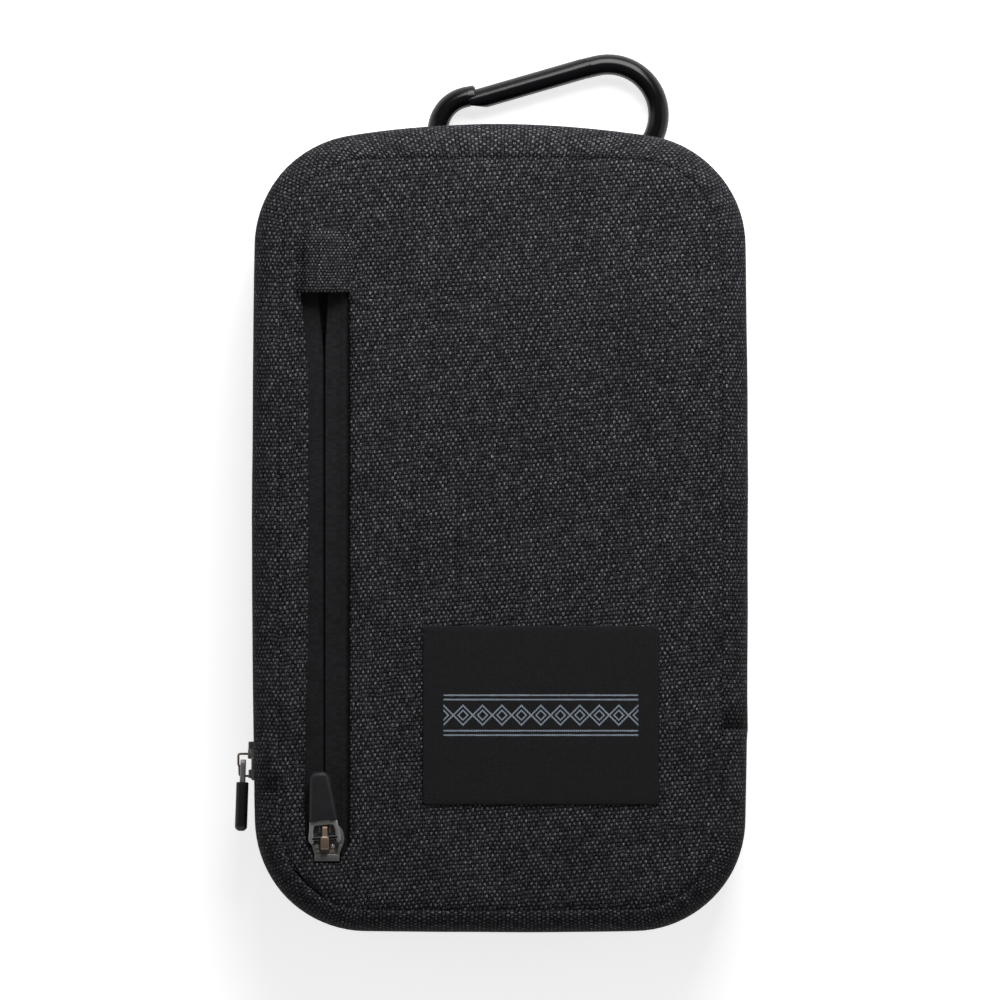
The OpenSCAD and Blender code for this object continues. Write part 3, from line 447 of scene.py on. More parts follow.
def addPiece(nodes, bm, body, material, thick=0.0, name=None):
    # a piece is named after the node that it stands for, unless it brings a name
    nodes = nodes.split()
    first, *more = (name or nodes[0]).split("_")
    name = first + "".join(word.capitalize() for word in more)
    bmesh.ops.scale(bm, vec=(mm, mm, mm), verts=bm.verts)
    mesh = meshFrom(bm, name)
    mesh.shade_smooth()
    mesh.set_sharp_from_angle(angle=radians(50))
    mesh.materials.append(material)
    piece = addObject(name, mesh)
    if thick:
        wall = piece.modifiers.new("thickness", "SOLIDIFY")
        wall.thickness = thick * mm
        wall.offset = -1
    if body:
        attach(piece, body)
    if nodes:
        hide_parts(*nodes)
    return piece


def closeShell(bm):
    bmesh.ops.recalc_face_normals(bm, faces=bm.faces)
    return bm


def cutAt(bm, point, normal, clear=False):
    bmesh.ops.bisect_plane(bm, geom=bm.verts[:] + bm.edges[:] + bm.faces[:], dist=0.001, plane_co=point,
                           plane_no=normal, clear_outer=clear)


def roundEdges(bm, edges, offset, segments):
    bmesh.ops.bevel(bm, geom=edges, offset=offset, segments=segments, affect="EDGES", profile=0.5, material=-1)


def mergeInto(bm, made):
    mesh = meshFrom(made, "merged")
    bm.from_mesh(mesh)
    bpy.data.meshes.remove(mesh)


# Rim bands and lower bands: canvas from the crease, over the shoulder, to a turned edge at the side

bands = {"thick": 0.8, "zipEdge": 8.3, "foldEdge": 12.4, "wave": 0.12, "waveSize": 14.0, "held": 1.9,
         "under": ((0.5, 1.9), (0.1, 1.2)), "crease": ((1, 0.6), (0.975, 0.54), (0.94, 0.44), (0.9, 0.385)),
         "turns": (9, 13, 18, 24, 31, 39, 47, 55, 63, 71, 79, 90),
         "edge": ((1.4, 0), (0.5, 0), (0.25, 0.04), (0.08, 0.16), (0, 0.4), (0, 0.8)),
         "endY": -39, "endHalf": 5, "endProud": 0.35}


def drawBand(node, run, front, edge, body):
    rows = [ringRow(run, 1, inset, level(front, depth)) for inset, depth in bands["under"]]
    rows += [ringRow(run, share, 0, level(front, depth)) for share, depth in bands["crease"]]
    rows += [shoulderRow(run, front, 0, t) for t in bands["turns"]]
    rows += [ringRow(run, 0, inset, level(front, edge - drop)) for drop, inset in bands["edge"]]
    bm = clothFromRows(rows)
    # cut so that its rows run over the shoulder
    uv = bm.loops.layers.uv["cloth"]
    for face in bm.faces:
        for corner in face.loops:
            corner[uv].uv = (corner[uv].uv.y, corner[uv].uv.x)
    faceAway(bm)
    settle(bm, bands["wave"], bands["waveSize"], 3.0 if front else 9.0, bands["held"])
    # the end of the zip opening on the right, where the band's turned end stands a little proud
    for vert in bm.verts:
        past = (vert.co.y - bands["endY"]) / bands["endHalf"]
        if vert.co.x > 0 and -1 < past < 1:
            vert.co.x += bands["endProud"] * cos(past * pi / 2) ** 2
    addPiece(node, bm, body, canvas, bands["thick"])


drawBand("front_band", overTop, True, bands["zipEdge"], "cover")
drawBand("front_lower_band", underBottom, True, bands["foldEdge"], "cover")
drawBand("back_band", overTop, False, bands["zipEdge"], "back")
drawBand("back_lower_band", underBottom, False, bands["foldEdge"], "back")
print("bands made")


# Front panel: bonded canvas, its edge rolled down into the crease, cut open for the card pocket

slit = {"left": -39.6, "right": -30.9, "low": -68.7, "high": 56.0, "roll": 0.5, "drop": 0.3, "pull": 4,
        "cuts": [-67.7, -67.1, -66.5, -65.8, -65.2, -64.6, -64, -63] + list(range(-58, 56, 6)),
        "leftPath": ((56, -40.9), (48.4, -40.8), (31, -39.4), (0, -39.3), (-30, -39.6), (-56, -40.2), (-60.3, -40.1),
                     (-63.5, -39.9), (-64.9, -39.3), (-65.8, -38.6), (-67, -38.2), (-68.7, -38.1)),
        "rightPath": ((56, -31.1), (48.4, -31.0), (20, -30.9), (-65, -30.95), (-66.5, -31.7), (-67.1, -32.4),
                      (-67.7, -32.75), (-68.7, -32.85))}


def pathAt(path, y):
    # straight interpolation between the listed heights, from the top down
    if y >= path[0][0]:
        return path[0][1]
    for (y0, x0), (y1, x1) in zip(path, path[1:]):
        if y >= y1:
            return x0 + (x1 - x0) * (y0 - y) / (y0 - y1)
    return path[-1][1]


def panelRows(front):
    rows = [ringRow(allRound, 1, inset, level(front, depth)) for inset, depth in (
        (0.6, 1.9), (0.15, 1.2), (0.03, 0.62), (0.3, 0.48), (0.8, 0.29), (1.5, 0.13), (2.4, 0.04), (3.4, 0),
        (5.0, 0), (17, 0))]
    return rows + closingRows(rows[-1], 5)


def cutSlit(bm):
    for value, away, normal in (("left", -1, (1, 0, 0)), ("right", 1, (1, 0, 0)), ("low", -1, (0, 1, 0)),
                                ("high", 1, (0, 1, 0))):
        for off in (slit["roll"], 0):
            cutAt(bm, Vector(normal) * (slit[value] + away * off), normal)
    for y in slit["cuts"]:
        cutAt(bm, (0, y, 0), (0, 1, 0))
    gone = [f for f in bm.faces if slit["left"] < f.calc_center_median().x < slit["right"]
            and slit["low"] < f.calc_center_median().y < slit["high"]]
    bmesh.ops.delete(bm, geom=gone, context="FACES")
    for vert in bm.verts:
        x, y = vert.co.x, vert.co.y
        onEdge = (vert.is_boundary and slit["left"] - 0.1 < x < slit["right"] + 0.1
                  and slit["low"] - 0.1 < y < slit["high"] + 0.1)
        for value in ("left", "right"):
            near = max(0.0, 1 - abs(x - slit[value]) / slit["pull"])
            if y < slit["high"] + 1:
                vert.co.x += (pathAt(slit[value + "Path"], y) - slit[value]) * near * near * (3 - 2 * near)
        if onEdge:
            vert.co.z -= slit["drop"]


bm = clothFromRows(panelRows(True), closed=True)
cutSlit(bm)
bmesh.ops.triangulate(bm, faces=[f for f in bm.faces if len(f.verts) > 4])
mapFlat(bm, slant=0.092)
faceAway(bm, (0, 0, 0))
addPiece("front_panel", bm, "cover", canvas, 1.2)
print("front panel made")


# Back panel and yoke, sewn together across the back

yoke = {"seam": 60.0, "turn": 0.9, "lift": 0.45, "pitch": 2.5, "stitch": 0.95, "off": 1.5}


def drawBackPart(node, above):
    bm = clothFromRows(panelRows(False), closed=True)
    for off in (0.7, 0.3, 0.08):
        cutAt(bm, (0, yoke["seam"] + (off if above else -off), 0), (0, -1 if above else 1, 0), off == 0.08)
    for vert in bm.verts:
        near = max(0.0, 1 - abs(vert.co.y - yoke["seam"]) / yoke["turn"])
        vert.co.z += yoke["lift"] * near * near
    mapFlat(bm)
    faceAway(bm, (0, 0, 25))
    addPiece(node, bm, "back", canvas, 1.1)


drawBackPart("back_panel", False)
drawBackPart("back_yoke", True)
print("back panel made")


# Foam and lining: a tray in the back half, a lid in the cover

def closeBody(rows, seed):
    # a closed body; its two flat faces run together on a line, and have a flat map
    rows = list(reversed(closingRows(rows[0], 4))) + rows + closingRows(rows[-1], 6)
    bm = clothFromRows(rows, closed=True)
    mapFlat(bm, flat=0.95)
    settle(bm, 0.1, 16, seed)
    return closeShell(bm)


def drawTray():
    rows = [ringRow(allRound, 1, 1.2, 1.35)]
    rows += [shoulderRow(allRound, False, 1.5, t) for t in (16, 30, 45, 60, 75, 90)]
    rows += [ringRow(allRound, 0, inset, z) for inset, z in (
        (1.5, 7.5), (1.6, 7.9), (1.9, 8.12), (2.4, 8.18), (3.2, 8.18), (3.8, 8.05), (4.12, 7.75), (4.2, 7.2),
        (4.2, 5.6), (4.35, 4.9), (4.8, 4.5), (5.6, 4.36), (12.0, 4.3))]
    return closeBody(rows, 5)


def drawLid():
    rows = [ringRow(allRound, 1, inset, z) for inset, z in ((2.3, 20.2), (2.3, 23.2), (2.1, 23.45), (0.8, 23.5))]
    rows += [shoulderRow(allRound, True, 1.5, t) for t in (16, 30, 45, 60, 75, 90)]
    rows += [ringRow(allRound, 0, inset, z) for inset, z in (
        (1.5, 17.9), (1.6, 17.45), (1.95, 17.16), (2.6, 17.06), (5.0, 17.04), (12.0, 17.04))]
    return closeBody(rows, 6)


tray = addPiece("back_foam back_lining", drawTray(), "back", lining, name="backTray")
lid = addPiece("front_foam front_lining", drawLid(), "cover", lining, name="frontLid")
print("padding made")


# Main zip: two film-coated tapes that meet over the coils, the hinge tape, and the two gussets

mainZip = {"thick": 0.45, "pitch": 1.3, "coilRun": (1, -40.1, -53.1), "coilInset": 2.1, "coilOff": 1.2,
           "loop": (1.9, 1.4, 0.75)}


def drawMainTape(node, front, body):
    away = 1 if front else -1
    middle = outline["split"]
    rows = [ringRow(overTop, 0, inset, middle + away * z) for inset, z in (
        (0.95, 5.2), (0.85, 4.4), (0.85, 1.3), (0.74, 0.8), (0.72, 0.45), (0.82, 0.15), (1.1, 0.05), (1.5, 0.06))]
    bm = clothFromRows(rows)
    faceAway(bm)
    addPiece(node, bm, body, zipTape, mainZip["thick"])


drawMainTape("front_zip_tape", True, "cover")
drawMainTape("back_zip_tape", False, "back")

hinge = clothFromRows([ringRow(hingeRun, 0, inset, z) for inset, z in (
    (0.95, 8.0), (0.95, 9.2), (1.05, 10.8), (1.1, 12.5), (1.05, 14.2), (0.95, 15.8), (0.95, 17.0))])
faceAway(hinge)
hinge = addPiece("hinge_tape", hinge, None, lining, 0.4)
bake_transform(hinge)

for node, side in (("left_gusset", -1), ("right_gusset", 1)):
    columns = outline["sideSteps"] + 5
    rows = []
    for inset, z in ((4.5, 5.2), (5.2, 7.2), (6.9, 9.8), (7.9, 11.0), (8.1, 12.0), (7.9, 13.0), (6.9, 14.2),
                     (5.2, 15.6), (4.5, 16.9)):
        row = ringRow(underBottom, 0, inset, z)
        rows.append(row[:columns] if side < 0 else row[-columns:])
    bm = clothFromRows(rows)
    faceAway(bm, (0, -40, 12.5))
    piece = addPiece(node, bm, None, lining, 0.3)
    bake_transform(piece)
print("zip tapes and gussets made")


# Coils: one loop of monofilament, drawn once and repeated along each row

def drawLoop(across, depth, wire):
    # a flat loop: the near side shows as a bead, the far side is hidden behind it
    bm = bmesh.new()
    bmesh.ops.create_circle(bm, cap_ends=False, segments=6, radius=wire / 2,
                            matrix=Matrix.Translation((0, depth / 2, 0)) @ Matrix.Rotation(pi / 2, 4, "Y"))
    bmesh.ops.spin(bm, geom=bm.verts[:] + bm.edges[:], cent=(0, 0, 0), axis=(1, 0, 0), dvec=(0, 0, 0),
                   angle=tau, steps=8, use_merge=True)
    bmesh.ops.scale(bm, vec=(1, 1, across / depth), verts=bm.verts)
    return meshFrom(closeShell(bm), "loop")


def placeAlong(template, stations):
    # copies of a small mesh at (place, along, out) stations
    bm = bmesh.new()
    for place, along, out in stations:
        count = len(bm.verts)
        bm.from_mesh(template)
        bm.verts.ensure_lookup_table()
        third = along.cross(out).normalized()
        turn = Matrix((along, out, third)).transposed().to_4x4()
        bmesh.ops.transform(bm, matrix=Matrix.Translation(place) @ turn, verts=bm.verts[count:])
    bpy.data.meshes.remove(template)
    return bm


def walk(path, pitch, start=0.0):
    # even steps along a path of points: place and direction
    stations, gone, due = [], 0.0, start
    for a, b in zip(path, path[1:]):
        length = (b - a).length
        while due <= gone + length:
            stations.append((a.lerp(b, (due - gone) / length), (b - a).normalized()))
            due += pitch
        gone += length
    return stations


for node, front, body in (("front_zip_coil", True, "cover"), ("back_zip_coil", False, "back")):
    z = outline["split"] + (mainZip["coilOff"] if front else -mainZip["coilOff"])
    path = ringRow(mainZip["coilRun"], 0, mainZip["coilInset"], z)
    steps = walk(path, mainZip["pitch"], 0 if front else mainZip["pitch"] / 2)
    bm = placeAlong(drawLoop(*mainZip["loop"]), [(p, d, Vector((d.y, -d.x, 0))) for p, d in steps])
    addPiece(node, bm, body, coilNylon)
print("coils made")


# Card pocket: tapes, coils, bag and garage

pocket = {"middle": -36.0, "tapeTop": 23.5, "thick": 0.45, "coilZ": 22.4, "top": 58.0, "low": -68.9, "pitch": 1.3,
          "steps": 60, "far": (-42.2, -29.8), "loop": (1.5, 1.3, 0.7),
          "fold": ((0, -0.7), (0.02, -0.25), (0.25, 0.05), (0.7, 0)),
          "welt": ((0.25, 0), (0.45, 0), (0.52, 0.16), (0.6, 0.22), (0.68, 0.14), (0.76, 0), (1, -0.05)),
          "leftEdge": ((60, -37.7), (48, -37.35), (42, -36.75), (36.6, -36.25), (-68.9, -36.17)),
          "rightEdge": ((60, -34.9), (48, -35.5), (42, -35.8), (36.6, -36.06), (-68.9, -36.07))}


def drawPocketTape(node, side):
    rows = []
    edgePath = pocket["leftEdge"] if side < 0 else pocket["rightEdge"]
    for k in range(pocket["steps"] + 1):
        y = pocket["low"] + (pocket["top"] - pocket["low"]) * k / pocket["steps"]
        edge = pathAt(edgePath, y)
        row = [Vector((edge + side * off, y, pocket["tapeTop"] + rise)) for off, rise in pocket["fold"]]
        x, far = edge + side * pocket["fold"][-1][0], pocket["far"][side > 0]
        for share, lift in pocket["welt"]:
            row.append(Vector((x + (far - x) * share, y, pocket["tapeTop"] + (lift if side > 0 else 0))))
        rows.append(row)
    bm = clothFromRows(rows)
    mapFlat(bm)
    faceAway(bm, (-36, 0, 0))
    addPiece(node, bm, "cover", zipTape, pocket["thick"])


drawPocketTape("pocket_tape_left", -1)
drawPocketTape("pocket_tape_right", 1)

for node, side in (("pocket_coil_left", -1), ("pocket_coil_right", 1)):
    edgePath = pocket["leftEdge"] if side < 0 else pocket["rightEdge"]
    path = [Vector((pathAt(edgePath, y) + side * 0.55, y, pocket["coilZ"])) for y in range(-68, 56, 2)]
    steps = walk(path, pocket["pitch"], 0 if side < 0 else pocket["pitch"] / 2)
    bm = placeAlong(drawLoop(*pocket["loop"]), [(p, d, Vector((0, 0, 1))) for p, d in steps])
    addPiece(node, bm, "cover", coilNylon)

bagRows = [ringRow(allRound, 1, inset, z) for inset, z in ((2.35, 23.3), (2.35, 20.9), (2.5, 20.5), (3.0, 20.32))]
bm = clothFromRows(bagRows + closingRows(bagRows[-1], 5), closed=True)
mapFlat(bm, flat=0.95)
settle(bm, 0.05, 12, 8)
faceAway(bm)
addPiece("pocket_bag", bm, "cover", lining, 0.2)


garage = {"mouth": 48.4, "end": 61.7, "halfW": 4.9, "endHalfW": 4.3, "height": 3.25, "endHeight": 2.5, "thick": 0.8,
          "shares": (0, 0.06, 0.2, 0.4, 0.58, 0.72, 0.83, 0.9, 0.95, 0.985, 1.0), "round": (0.9, 0.85),
          "turn": 0.3, "endWide": 0.45, "flare": 0.9, "endFlare": 1.4, "sides": 24, "fine": 1.35}


def drawGarage():
    # a hood over the zip's end, square in section at its mouth and closed by a rounded end
    rows = []
    for share in garage["shares"]:
        y = garage["mouth"] + (garage["end"] - garage["mouth"]) * share
        near = max(0.0, (share - 1 + garage["turn"]) / garage["turn"])
        fall = sqrt(max(0.0, 1 - near * near))
        w = (garage["halfW"] + (garage["endHalfW"] - garage["halfW"]) * share) * (
            garage["endWide"] + (1 - garage["endWide"]) * fall)
        h = (garage["height"] + (garage["endHeight"] - garage["height"]) * share) * fall
        row = []
        for k in range(garage["sides"] + 1):
            c, s = cos(pi * k / garage["sides"]), sin(pi * k / garage["sides"])
            x = -w * copysign(abs(c) ** garage["round"][0], c)
            row.append(Vector((pocket["middle"] + x, y, outline["depth"] + h * s ** garage["round"][1])))
        flare = garage["flare"] + (garage["endFlare"] - garage["flare"]) * share
        row.insert(0, row[0] + Vector((-flare, 0, 0.02)))
        row.append(row[-1] + Vector((flare, 0, 0.02)))
        rows.append(row)
    bm = clothFromRows(rows)
    mapFlat(bm, fine=garage["fine"])
    faceAway(bm, (-36, 50, 20))
    return bm


addPiece("pocket_garage", drawGarage(), "cover", canvas, garage["thick"])
print("pocket made")


# Woven label, a thin slab with rounded corners

labelPatch = {"x": 8.4, "y": -38.4, "width": 48.5, "height": 36.7, "thick": 0.5, "margin": 1.2}
bm = bmesh.new()
bmesh.ops.create_cube(bm, size=1)
bmesh.ops.scale(bm, vec=(labelPatch["width"], labelPatch["height"], labelPatch["thick"]), verts=bm.verts)
roundEdges(bm, [e for e in bm.edges if abs(e.verts[0].co.z - e.verts[1].co.z) > 0.1], 0.7, 4)
roundEdges(bm, [e for e in bm.edges if min(v.co.z for v in e.verts) > 0.2], 0.22, 3)
# a margin all round, so that the rounded edge doesn't shade the whole face
for side in (-1, 1):
    cutAt(bm, (side * (labelPatch["width"] / 2 - labelPatch["margin"]), 0, 0), (1, 0, 0))
for side in (-1, 1):
    cutAt(bm, (0, side * (labelPatch["height"] / 2 - labelPatch["margin"]), 0), (0, 1, 0))
bmesh.ops.translate(bm, vec=(labelPatch["x"], labelPatch["y"], outline["depth"] + labelPatch["thick"] / 2),
                    verts=bm.verts)
mapFlat(bm, (labelPatch["x"], labelPatch["y"]))
addPiece("label_patch", bm, "cover", label)


# Back loop of webbing round the hook's spine, and its sewing

loop = {"x": 8.3, "width": 12.0, "thick": 0.94, "tail": 60.2, "fork": 66.0, "spine": 74.8, "eyeZ": -3.35, "eyeR": 2.8,
        "topZ": -0.55, "lowZ": -1.6, "wrap": 214, "shares": (-1, -0.94, -0.8, -0.4, 0, 0.4, 0.8, 0.94, 1),
        "tacks": (61.5, 64.7), "tackHalf": 4.7, "tackStitches": 24, "tackZ": -2.25}


def loopPath():
    # along the back, round the hook's spine and back on itself
    points = [(loop["tail"] + k * (loop["spine"] - loop["tail"]) / 12, loop["topZ"]) for k in range(13)]
    for k in range(1, 17):
        t = radians(90 - loop["wrap"] * k / 16)
        points.append((loop["spine"] + loop["eyeR"] * cos(t), loop["eyeZ"] + loop["eyeR"] * sin(t)))
    y, z = points[-1]
    points += [(y + (loop["fork"] - y) * k / 6, z + (loop["lowZ"] - z) * k / 6) for k in range(1, 7)]
    return points + [(loop["fork"] + (loop["tail"] - loop["fork"]) * k / 5, loop["lowZ"]) for k in range(1, 6)]


bm = clothFromRows([[Vector((loop["x"] + loop["width"] / 2 * share, y, z)) for share in loop["shares"]]
                    for y, z in loopPath()])
strap = addPiece("hang_strap", closeShell(bm), "back", webbing, loop["thick"])
strap.modifiers["thickness"].offset = 0


def stitch(bm, a, b, r):
    # one stitch: a short capsule of thread between two points
    made = bmesh.ops.create_uvsphere(bm, u_segments=6, v_segments=5, radius=r)["verts"]
    way = b - a
    for vert in made:
        vert.co.z *= way.length / 2 / r
    turn = Vector((0, 0, 1)).rotation_difference(way.normalized()).to_matrix().to_4x4()
    bmesh.ops.transform(bm, matrix=Matrix.Translation((a + b) / 2) @ turn, verts=made)


bm = bmesh.new()
for middle in loop["tacks"]:
    for k in range(loop["tackStitches"]):
        x = loop["x"] + loop["tackHalf"] * (2 * k / (loop["tackStitches"] - 1) - 1)
        a, b = Vector((x - 0.2, middle - 0.6, loop["tackZ"])), Vector((x + 0.2, middle + 0.6, loop["tackZ"]))
        stitch(bm, a, b, 0.16)
addPiece("strap_bartacks", bm, "back", thread)

bm = bmesh.new()
for side in (-1, 1):
    for k in range(-17, 18):
        x, y = k * yoke["pitch"], yoke["seam"] + side * yoke["off"]
        # the row above the seam stops at the webbing
        if side < 0 or abs(x - loop["x"]) >= 7:
            stitch(bm, Vector((x - yoke["stitch"], y, -0.06)), Vector((x + yoke["stitch"], y, -0.06)), 0.17)
addPiece("", bm, "back", thread, name="yokeStitches")
print("label, loop and sewing made")


# Hard parts keep the CAD's shape: merged copies with their edges broken

def finishCopy(node, body, material, bevel, segments=3, dissolve=True):
    bm = bmesh.new()
    bm.from_mesh(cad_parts[node].data)
    bmesh.ops.scale(bm, vec=(1 / mm, 1 / mm, 1 / mm), verts=bm.verts)
    bmesh.ops.remove_doubles(bm, verts=bm.verts, dist=0.002)
    if dissolve:
        bmesh.ops.dissolve_limit(bm, angle_limit=radians(1), verts=bm.verts, edges=bm.edges)
    piece = addPiece(node, bm, body, material)
    if bevel:
        edge = piece.modifiers.new("broken edges", "BEVEL")
        edge.width = bevel * mm
        edge.segments = segments
        edge.limit_method = "ANGLE"
        edge.angle_limit = radians(35)


finishCopy("pocket_zip_stops", "cover", gunmetal, 0.2)
finishCopy("front_zip_stops", "cover", gunmetal, 0.2)
finishCopy("back_zip_stops", "back", gunmetal, 0.2)
finishCopy("main_pull_sleeve", "main_pull", rubber, 0.25)
finishCopy("pocket_pull_sleeve", "pocket_pull", rubber, 0.25)


# Sliders and pull rings, in their own frame: X across the zip, Y towards the pull's tip, Z out of the
# tape's face, with the crossbar over the origin

def addPlate(bm, points, low, high, bevel=0.15, mirrored=False, dx=0.0):
    # a cast plate or block: one face drawn, extruded and its edges rounded
    if mirrored:
        points = points + [(-x, y) for x, y in reversed(points) if x > 0]
    made = bmesh.new()
    face = made.faces.new([made.verts.new((x + dx, y, low)) for x, y in points])
    top = bmesh.ops.extrude_face_region(made, geom=[face])["geom"]
    bmesh.ops.translate(made, vec=(0, 0, high - low), verts=[g for g in top if isinstance(g, bmesh.types.BMVert)])
    closeShell(made)
    roundEdges(made, made.edges[:], bevel, 2)
    mergeInto(bm, made)


def block(left, right, low, high):
    return [(left, low), (right, low), (right, high), (left, high)]


def lightFrom(bm, count):
    # the faces from this one on take the piece's second material: painted highlight on the sliders, painted shade on
    # the rings' crossbars
    bm.faces.ensure_lookup_table()
    for face in bm.faces[count:]:
        face.material_index = 1


slider = {"plan": [(0, -4.8), (2.0, -4.8), (2.6, -4.3), (2.6, -3.2), (3.0, -2.3), (3.45, -1.2), (3.6, -0.2),
                   (3.45, 0.9), (3.0, 1.9), (2.3, 2.7), (1.4, 3.15), (0, 3.2)],
          "nose": [(0, -4.8), (2.58, -4.8), (2.58, -3.3), (0, -3.3)], "divider": block(-0.3, 0.3, 0.6, 2.6),
          "flange": [(2.2, -2.5), (3.0, -2.5), (3.0, 2.6), (2.2, 2.6)],
          "cheek": [(2.3, -1.35), (3.1, -1.35), (2.95, -2.3), (2.58, -3.35), (2.1, -3.35)],
          "lump": [(1.15, -1.25), (2.05, -1.25), (2.1, -2.2), (1.15, -2.2)],
          "foot": [(1.1, -2.35), (1.95, -2.35), (1.95, -3.2), (1.1, -3.2)],
          "rib": [(0.85, 0.95), (1.3, 0.95), (1.2, 2.75), (0.85, 2.75)],
          "inner": -2.15, "thin": 0.75, "thick": 0.85,
          "rubbed": (("lump", 0.75, 0.32), ("foot", 0.35, 0.12), ("rib", 0.6, 0.16))}


def drawSlider(place, plateLow, play, held, dx):
    bm = bmesh.new()
    top = plateLow + slider["thick"]
    inner = slider["inner"] - play / 2
    addPlate(bm, slider["plan"], plateLow, top, 0.2, True, dx)
    addPlate(bm, slider["plan"], inner - slider["thin"], inner, 0.2, True, dx)
    addPlate(bm, slider["divider"], inner - 0.2, plateLow + 0.2, 0.08)
    for side in held:
        addPlate(bm, [(side * x, y) for x, y in slider["flange"]], inner - 0.2, inner + 1.35, 0.12)
    addPlate(bm, slider["nose"], top - 0.3, top + 0.6, 0.16, True, dx)
    for side in (-1, 1):
        addPlate(bm, [(side * x, y) for x, y in slider["cheek"]], top - 0.3, top + 0.7, 0.12, False, dx)
    count = len(bm.faces)
    # the lumps, feet and ribs in the window take the painted highlight
    for side in (-1, 1):
        for form, rise, bevel in slider["rubbed"]:
            addPlate(bm, [(side * x, y) for x, y in slider[form]], top - 0.2, top + rise, bevel)
    lightFrom(bm, count)
    bmesh.ops.transform(bm, matrix=place, verts=bm.verts)
    return bm


def drawBridge(place, plateTop, inner):
    # a bent strip that holds the crossbar, narrower on the side of the pull
    top = plateTop + inner
    path = [(-2.5, plateTop - 0.1, 0.83), (-2.5, top - 0.7, 0.83), (-2.42, top - 0.3, 0.83), (-2.2, top - 0.08, 0.83),
            (-1.9, top, 0.83), (-0.1, top, 0.83), (0.1, top - 0.04, 0.8), (0.2, top - 0.14, 0.55),
            (0.4, top - 0.2, 0.52), (1.9, top - 0.22, 0.5), (2.2, top - 0.34, 0.5), (2.42, top - 0.6, 0.5),
            (2.5, top - 0.9, 0.5), (2.5, plateTop - 0.1, 0.5)]
    bm = clothFromRows([[Vector((half * k, y, z)) for k in (-1, -0.8, 0, 0.8, 1)] for y, z, half in path])
    faceAway(bm, (0, 0, plateTop))
    bmesh.ops.transform(bm, matrix=place, verts=bm.verts)
    return bm


ring = {"frame": [(-2.9, 3.56), (-3.0, 2.2), (-3.2, 1.0), (-3.36, 0.1), (-3.3, -0.55), (-3.0, -1.05), (-2.65, -1.15),
                  (-2.35, -0.9), (-2.28, 0.6), (-2.25, 1.6), (-2.0, 2.4), (-1.75, 2.65)],
        "tang": block(-1.3, 1.3, 3.0, 9.4), "thick": 1.15, "barR": 0.6}


def drawRing(place):
    # the flat frame, open below the round crossbar that joins its two lobes
    bm = bmesh.new()
    addPlate(bm, ring["frame"] + [(-x, y) for x, y in reversed(ring["frame"])], -ring["thick"] / 2,
             ring["thick"] / 2, 0.2)
    addPlate(bm, ring["tang"], -0.6, 0.6, 0.1)
    # the crossbar takes the piece's second material, painted shade
    count = len(bm.faces)
    bmesh.ops.create_cone(bm, cap_ends=True, segments=20, radius1=ring["barR"], radius2=ring["barR"], depth=5.2,
                          matrix=Matrix.Rotation(pi / 2, 4, "Y"))
    lightFrom(bm, count)
    bmesh.ops.transform(bm, matrix=place, verts=bm.verts)
    return bm


turned = Matrix.Rotation(-pi / 2, 4, "Y") @ Matrix.Rotation(pi, 4, "Z")
pocketPlace = Matrix.Translation((-36, -63.6, 23.55))
mainPlace = Matrix.Translation((-49.882, -48.7, 12.5)) @ turned
pocketPull = Matrix.Translation((-36, -63.6, 25.6)) @ Matrix.Rotation(radians(5), 4, "Z")
mainPull = Matrix.Translation((-52.852, -48.7, 12.5)) @ turned @ Matrix.Rotation(radians(2), 4, "X")
for which, place, pull, low, play, held, dx, inner in (
        ("pocket", pocketPlace, pocketPull, 0.2, 0, (-1, 1), 0.45, 2.2),
        ("main", mainPlace, mainPull, 0.42, 0.44, (1,), 0, 2.9)):
    piece = addPiece(which + "_slider_body", drawSlider(place, low, play, held, dx), which + "_slider", gunmetal)
    piece.data.materials.append(paintedHighlightZinc)
    addPiece(which + "_slider_bridge", drawBridge(place, low + slider["thick"], inner), which + "_slider",
             bridgeMetal, 0.45)
    # the ring's frame in the gunmetal painted lighter as painted highlight, its crossbar in painted shade
    piece = addPiece(which + "_pull_ring", drawRing(pull), which + "_pull", paintedLitRingMetal)
    piece.data.materials.append(paintedShadeBar)
print("sliders made")


# Snap hook: a lacquered rod bent to an eye, with a sprung gate that closes under the nose

hook = {"rodR": 2.15, "z": -3.35, "spineY": 74.8, "smallX": -5.7, "smallR": 7.1, "largeX": 22.3, "largeR": 10.4,
        "hingeRun": 3.2, "noseRun": 0.9, "drop": 1.1, "chamfer": -0.95, "seam": 0.05, "sides": 28, "gateBack": 0.15,
        "lip": ((-0.6, 1.0), (1.0, 1.0), (1.35, 0.97), (1.55, 0.9), (1.68, 0.78), (1.74, 0.62), (1.76, 0.45)),
        "lipDrop": 0.06, "tongueR": 1.5, "tongueThick": 1.2}
small = Vector((hook["smallX"], hook["spineY"] + hook["smallR"]))
large = Vector((hook["largeX"], hook["spineY"] + hook["largeR"]))
reach = large - small
lean = asin((hook["largeR"] - hook["smallR"]) / reach.length) + atan2(reach.y, reach.x)
along = Vector((cos(lean), sin(lean)))
away = Vector((-along.y, along.x))
pivot = large + away * hook["largeR"] - along * hook["hingeRun"]
nose = small + away * hook["smallR"] + along * hook["noseRun"]
gateEnd = nose + along * hook["gateBack"] - away * hook["drop"]


def roundRow(place, heading, r, ceiling=9.0, floor=-9.0, shape=None):
    # a ring round the rod: v across it in the hook's plane, held between floor and ceiling
    ahead = Vector((cos(heading), sin(heading)))
    side = Vector((-ahead.y, ahead.x))
    row = []
    for k in range(hook["sides"]):
        t = tau * k / hook["sides"]
        v, w = r * cos(t), r * sin(t)
        v = max(floor, min(v, ceiling))
        on = shape(v) if shape else 0.0
        point = place + side * v + ahead * on
        row.append(Vector((point.x, point.y, hook["z"] + w)))
    return row


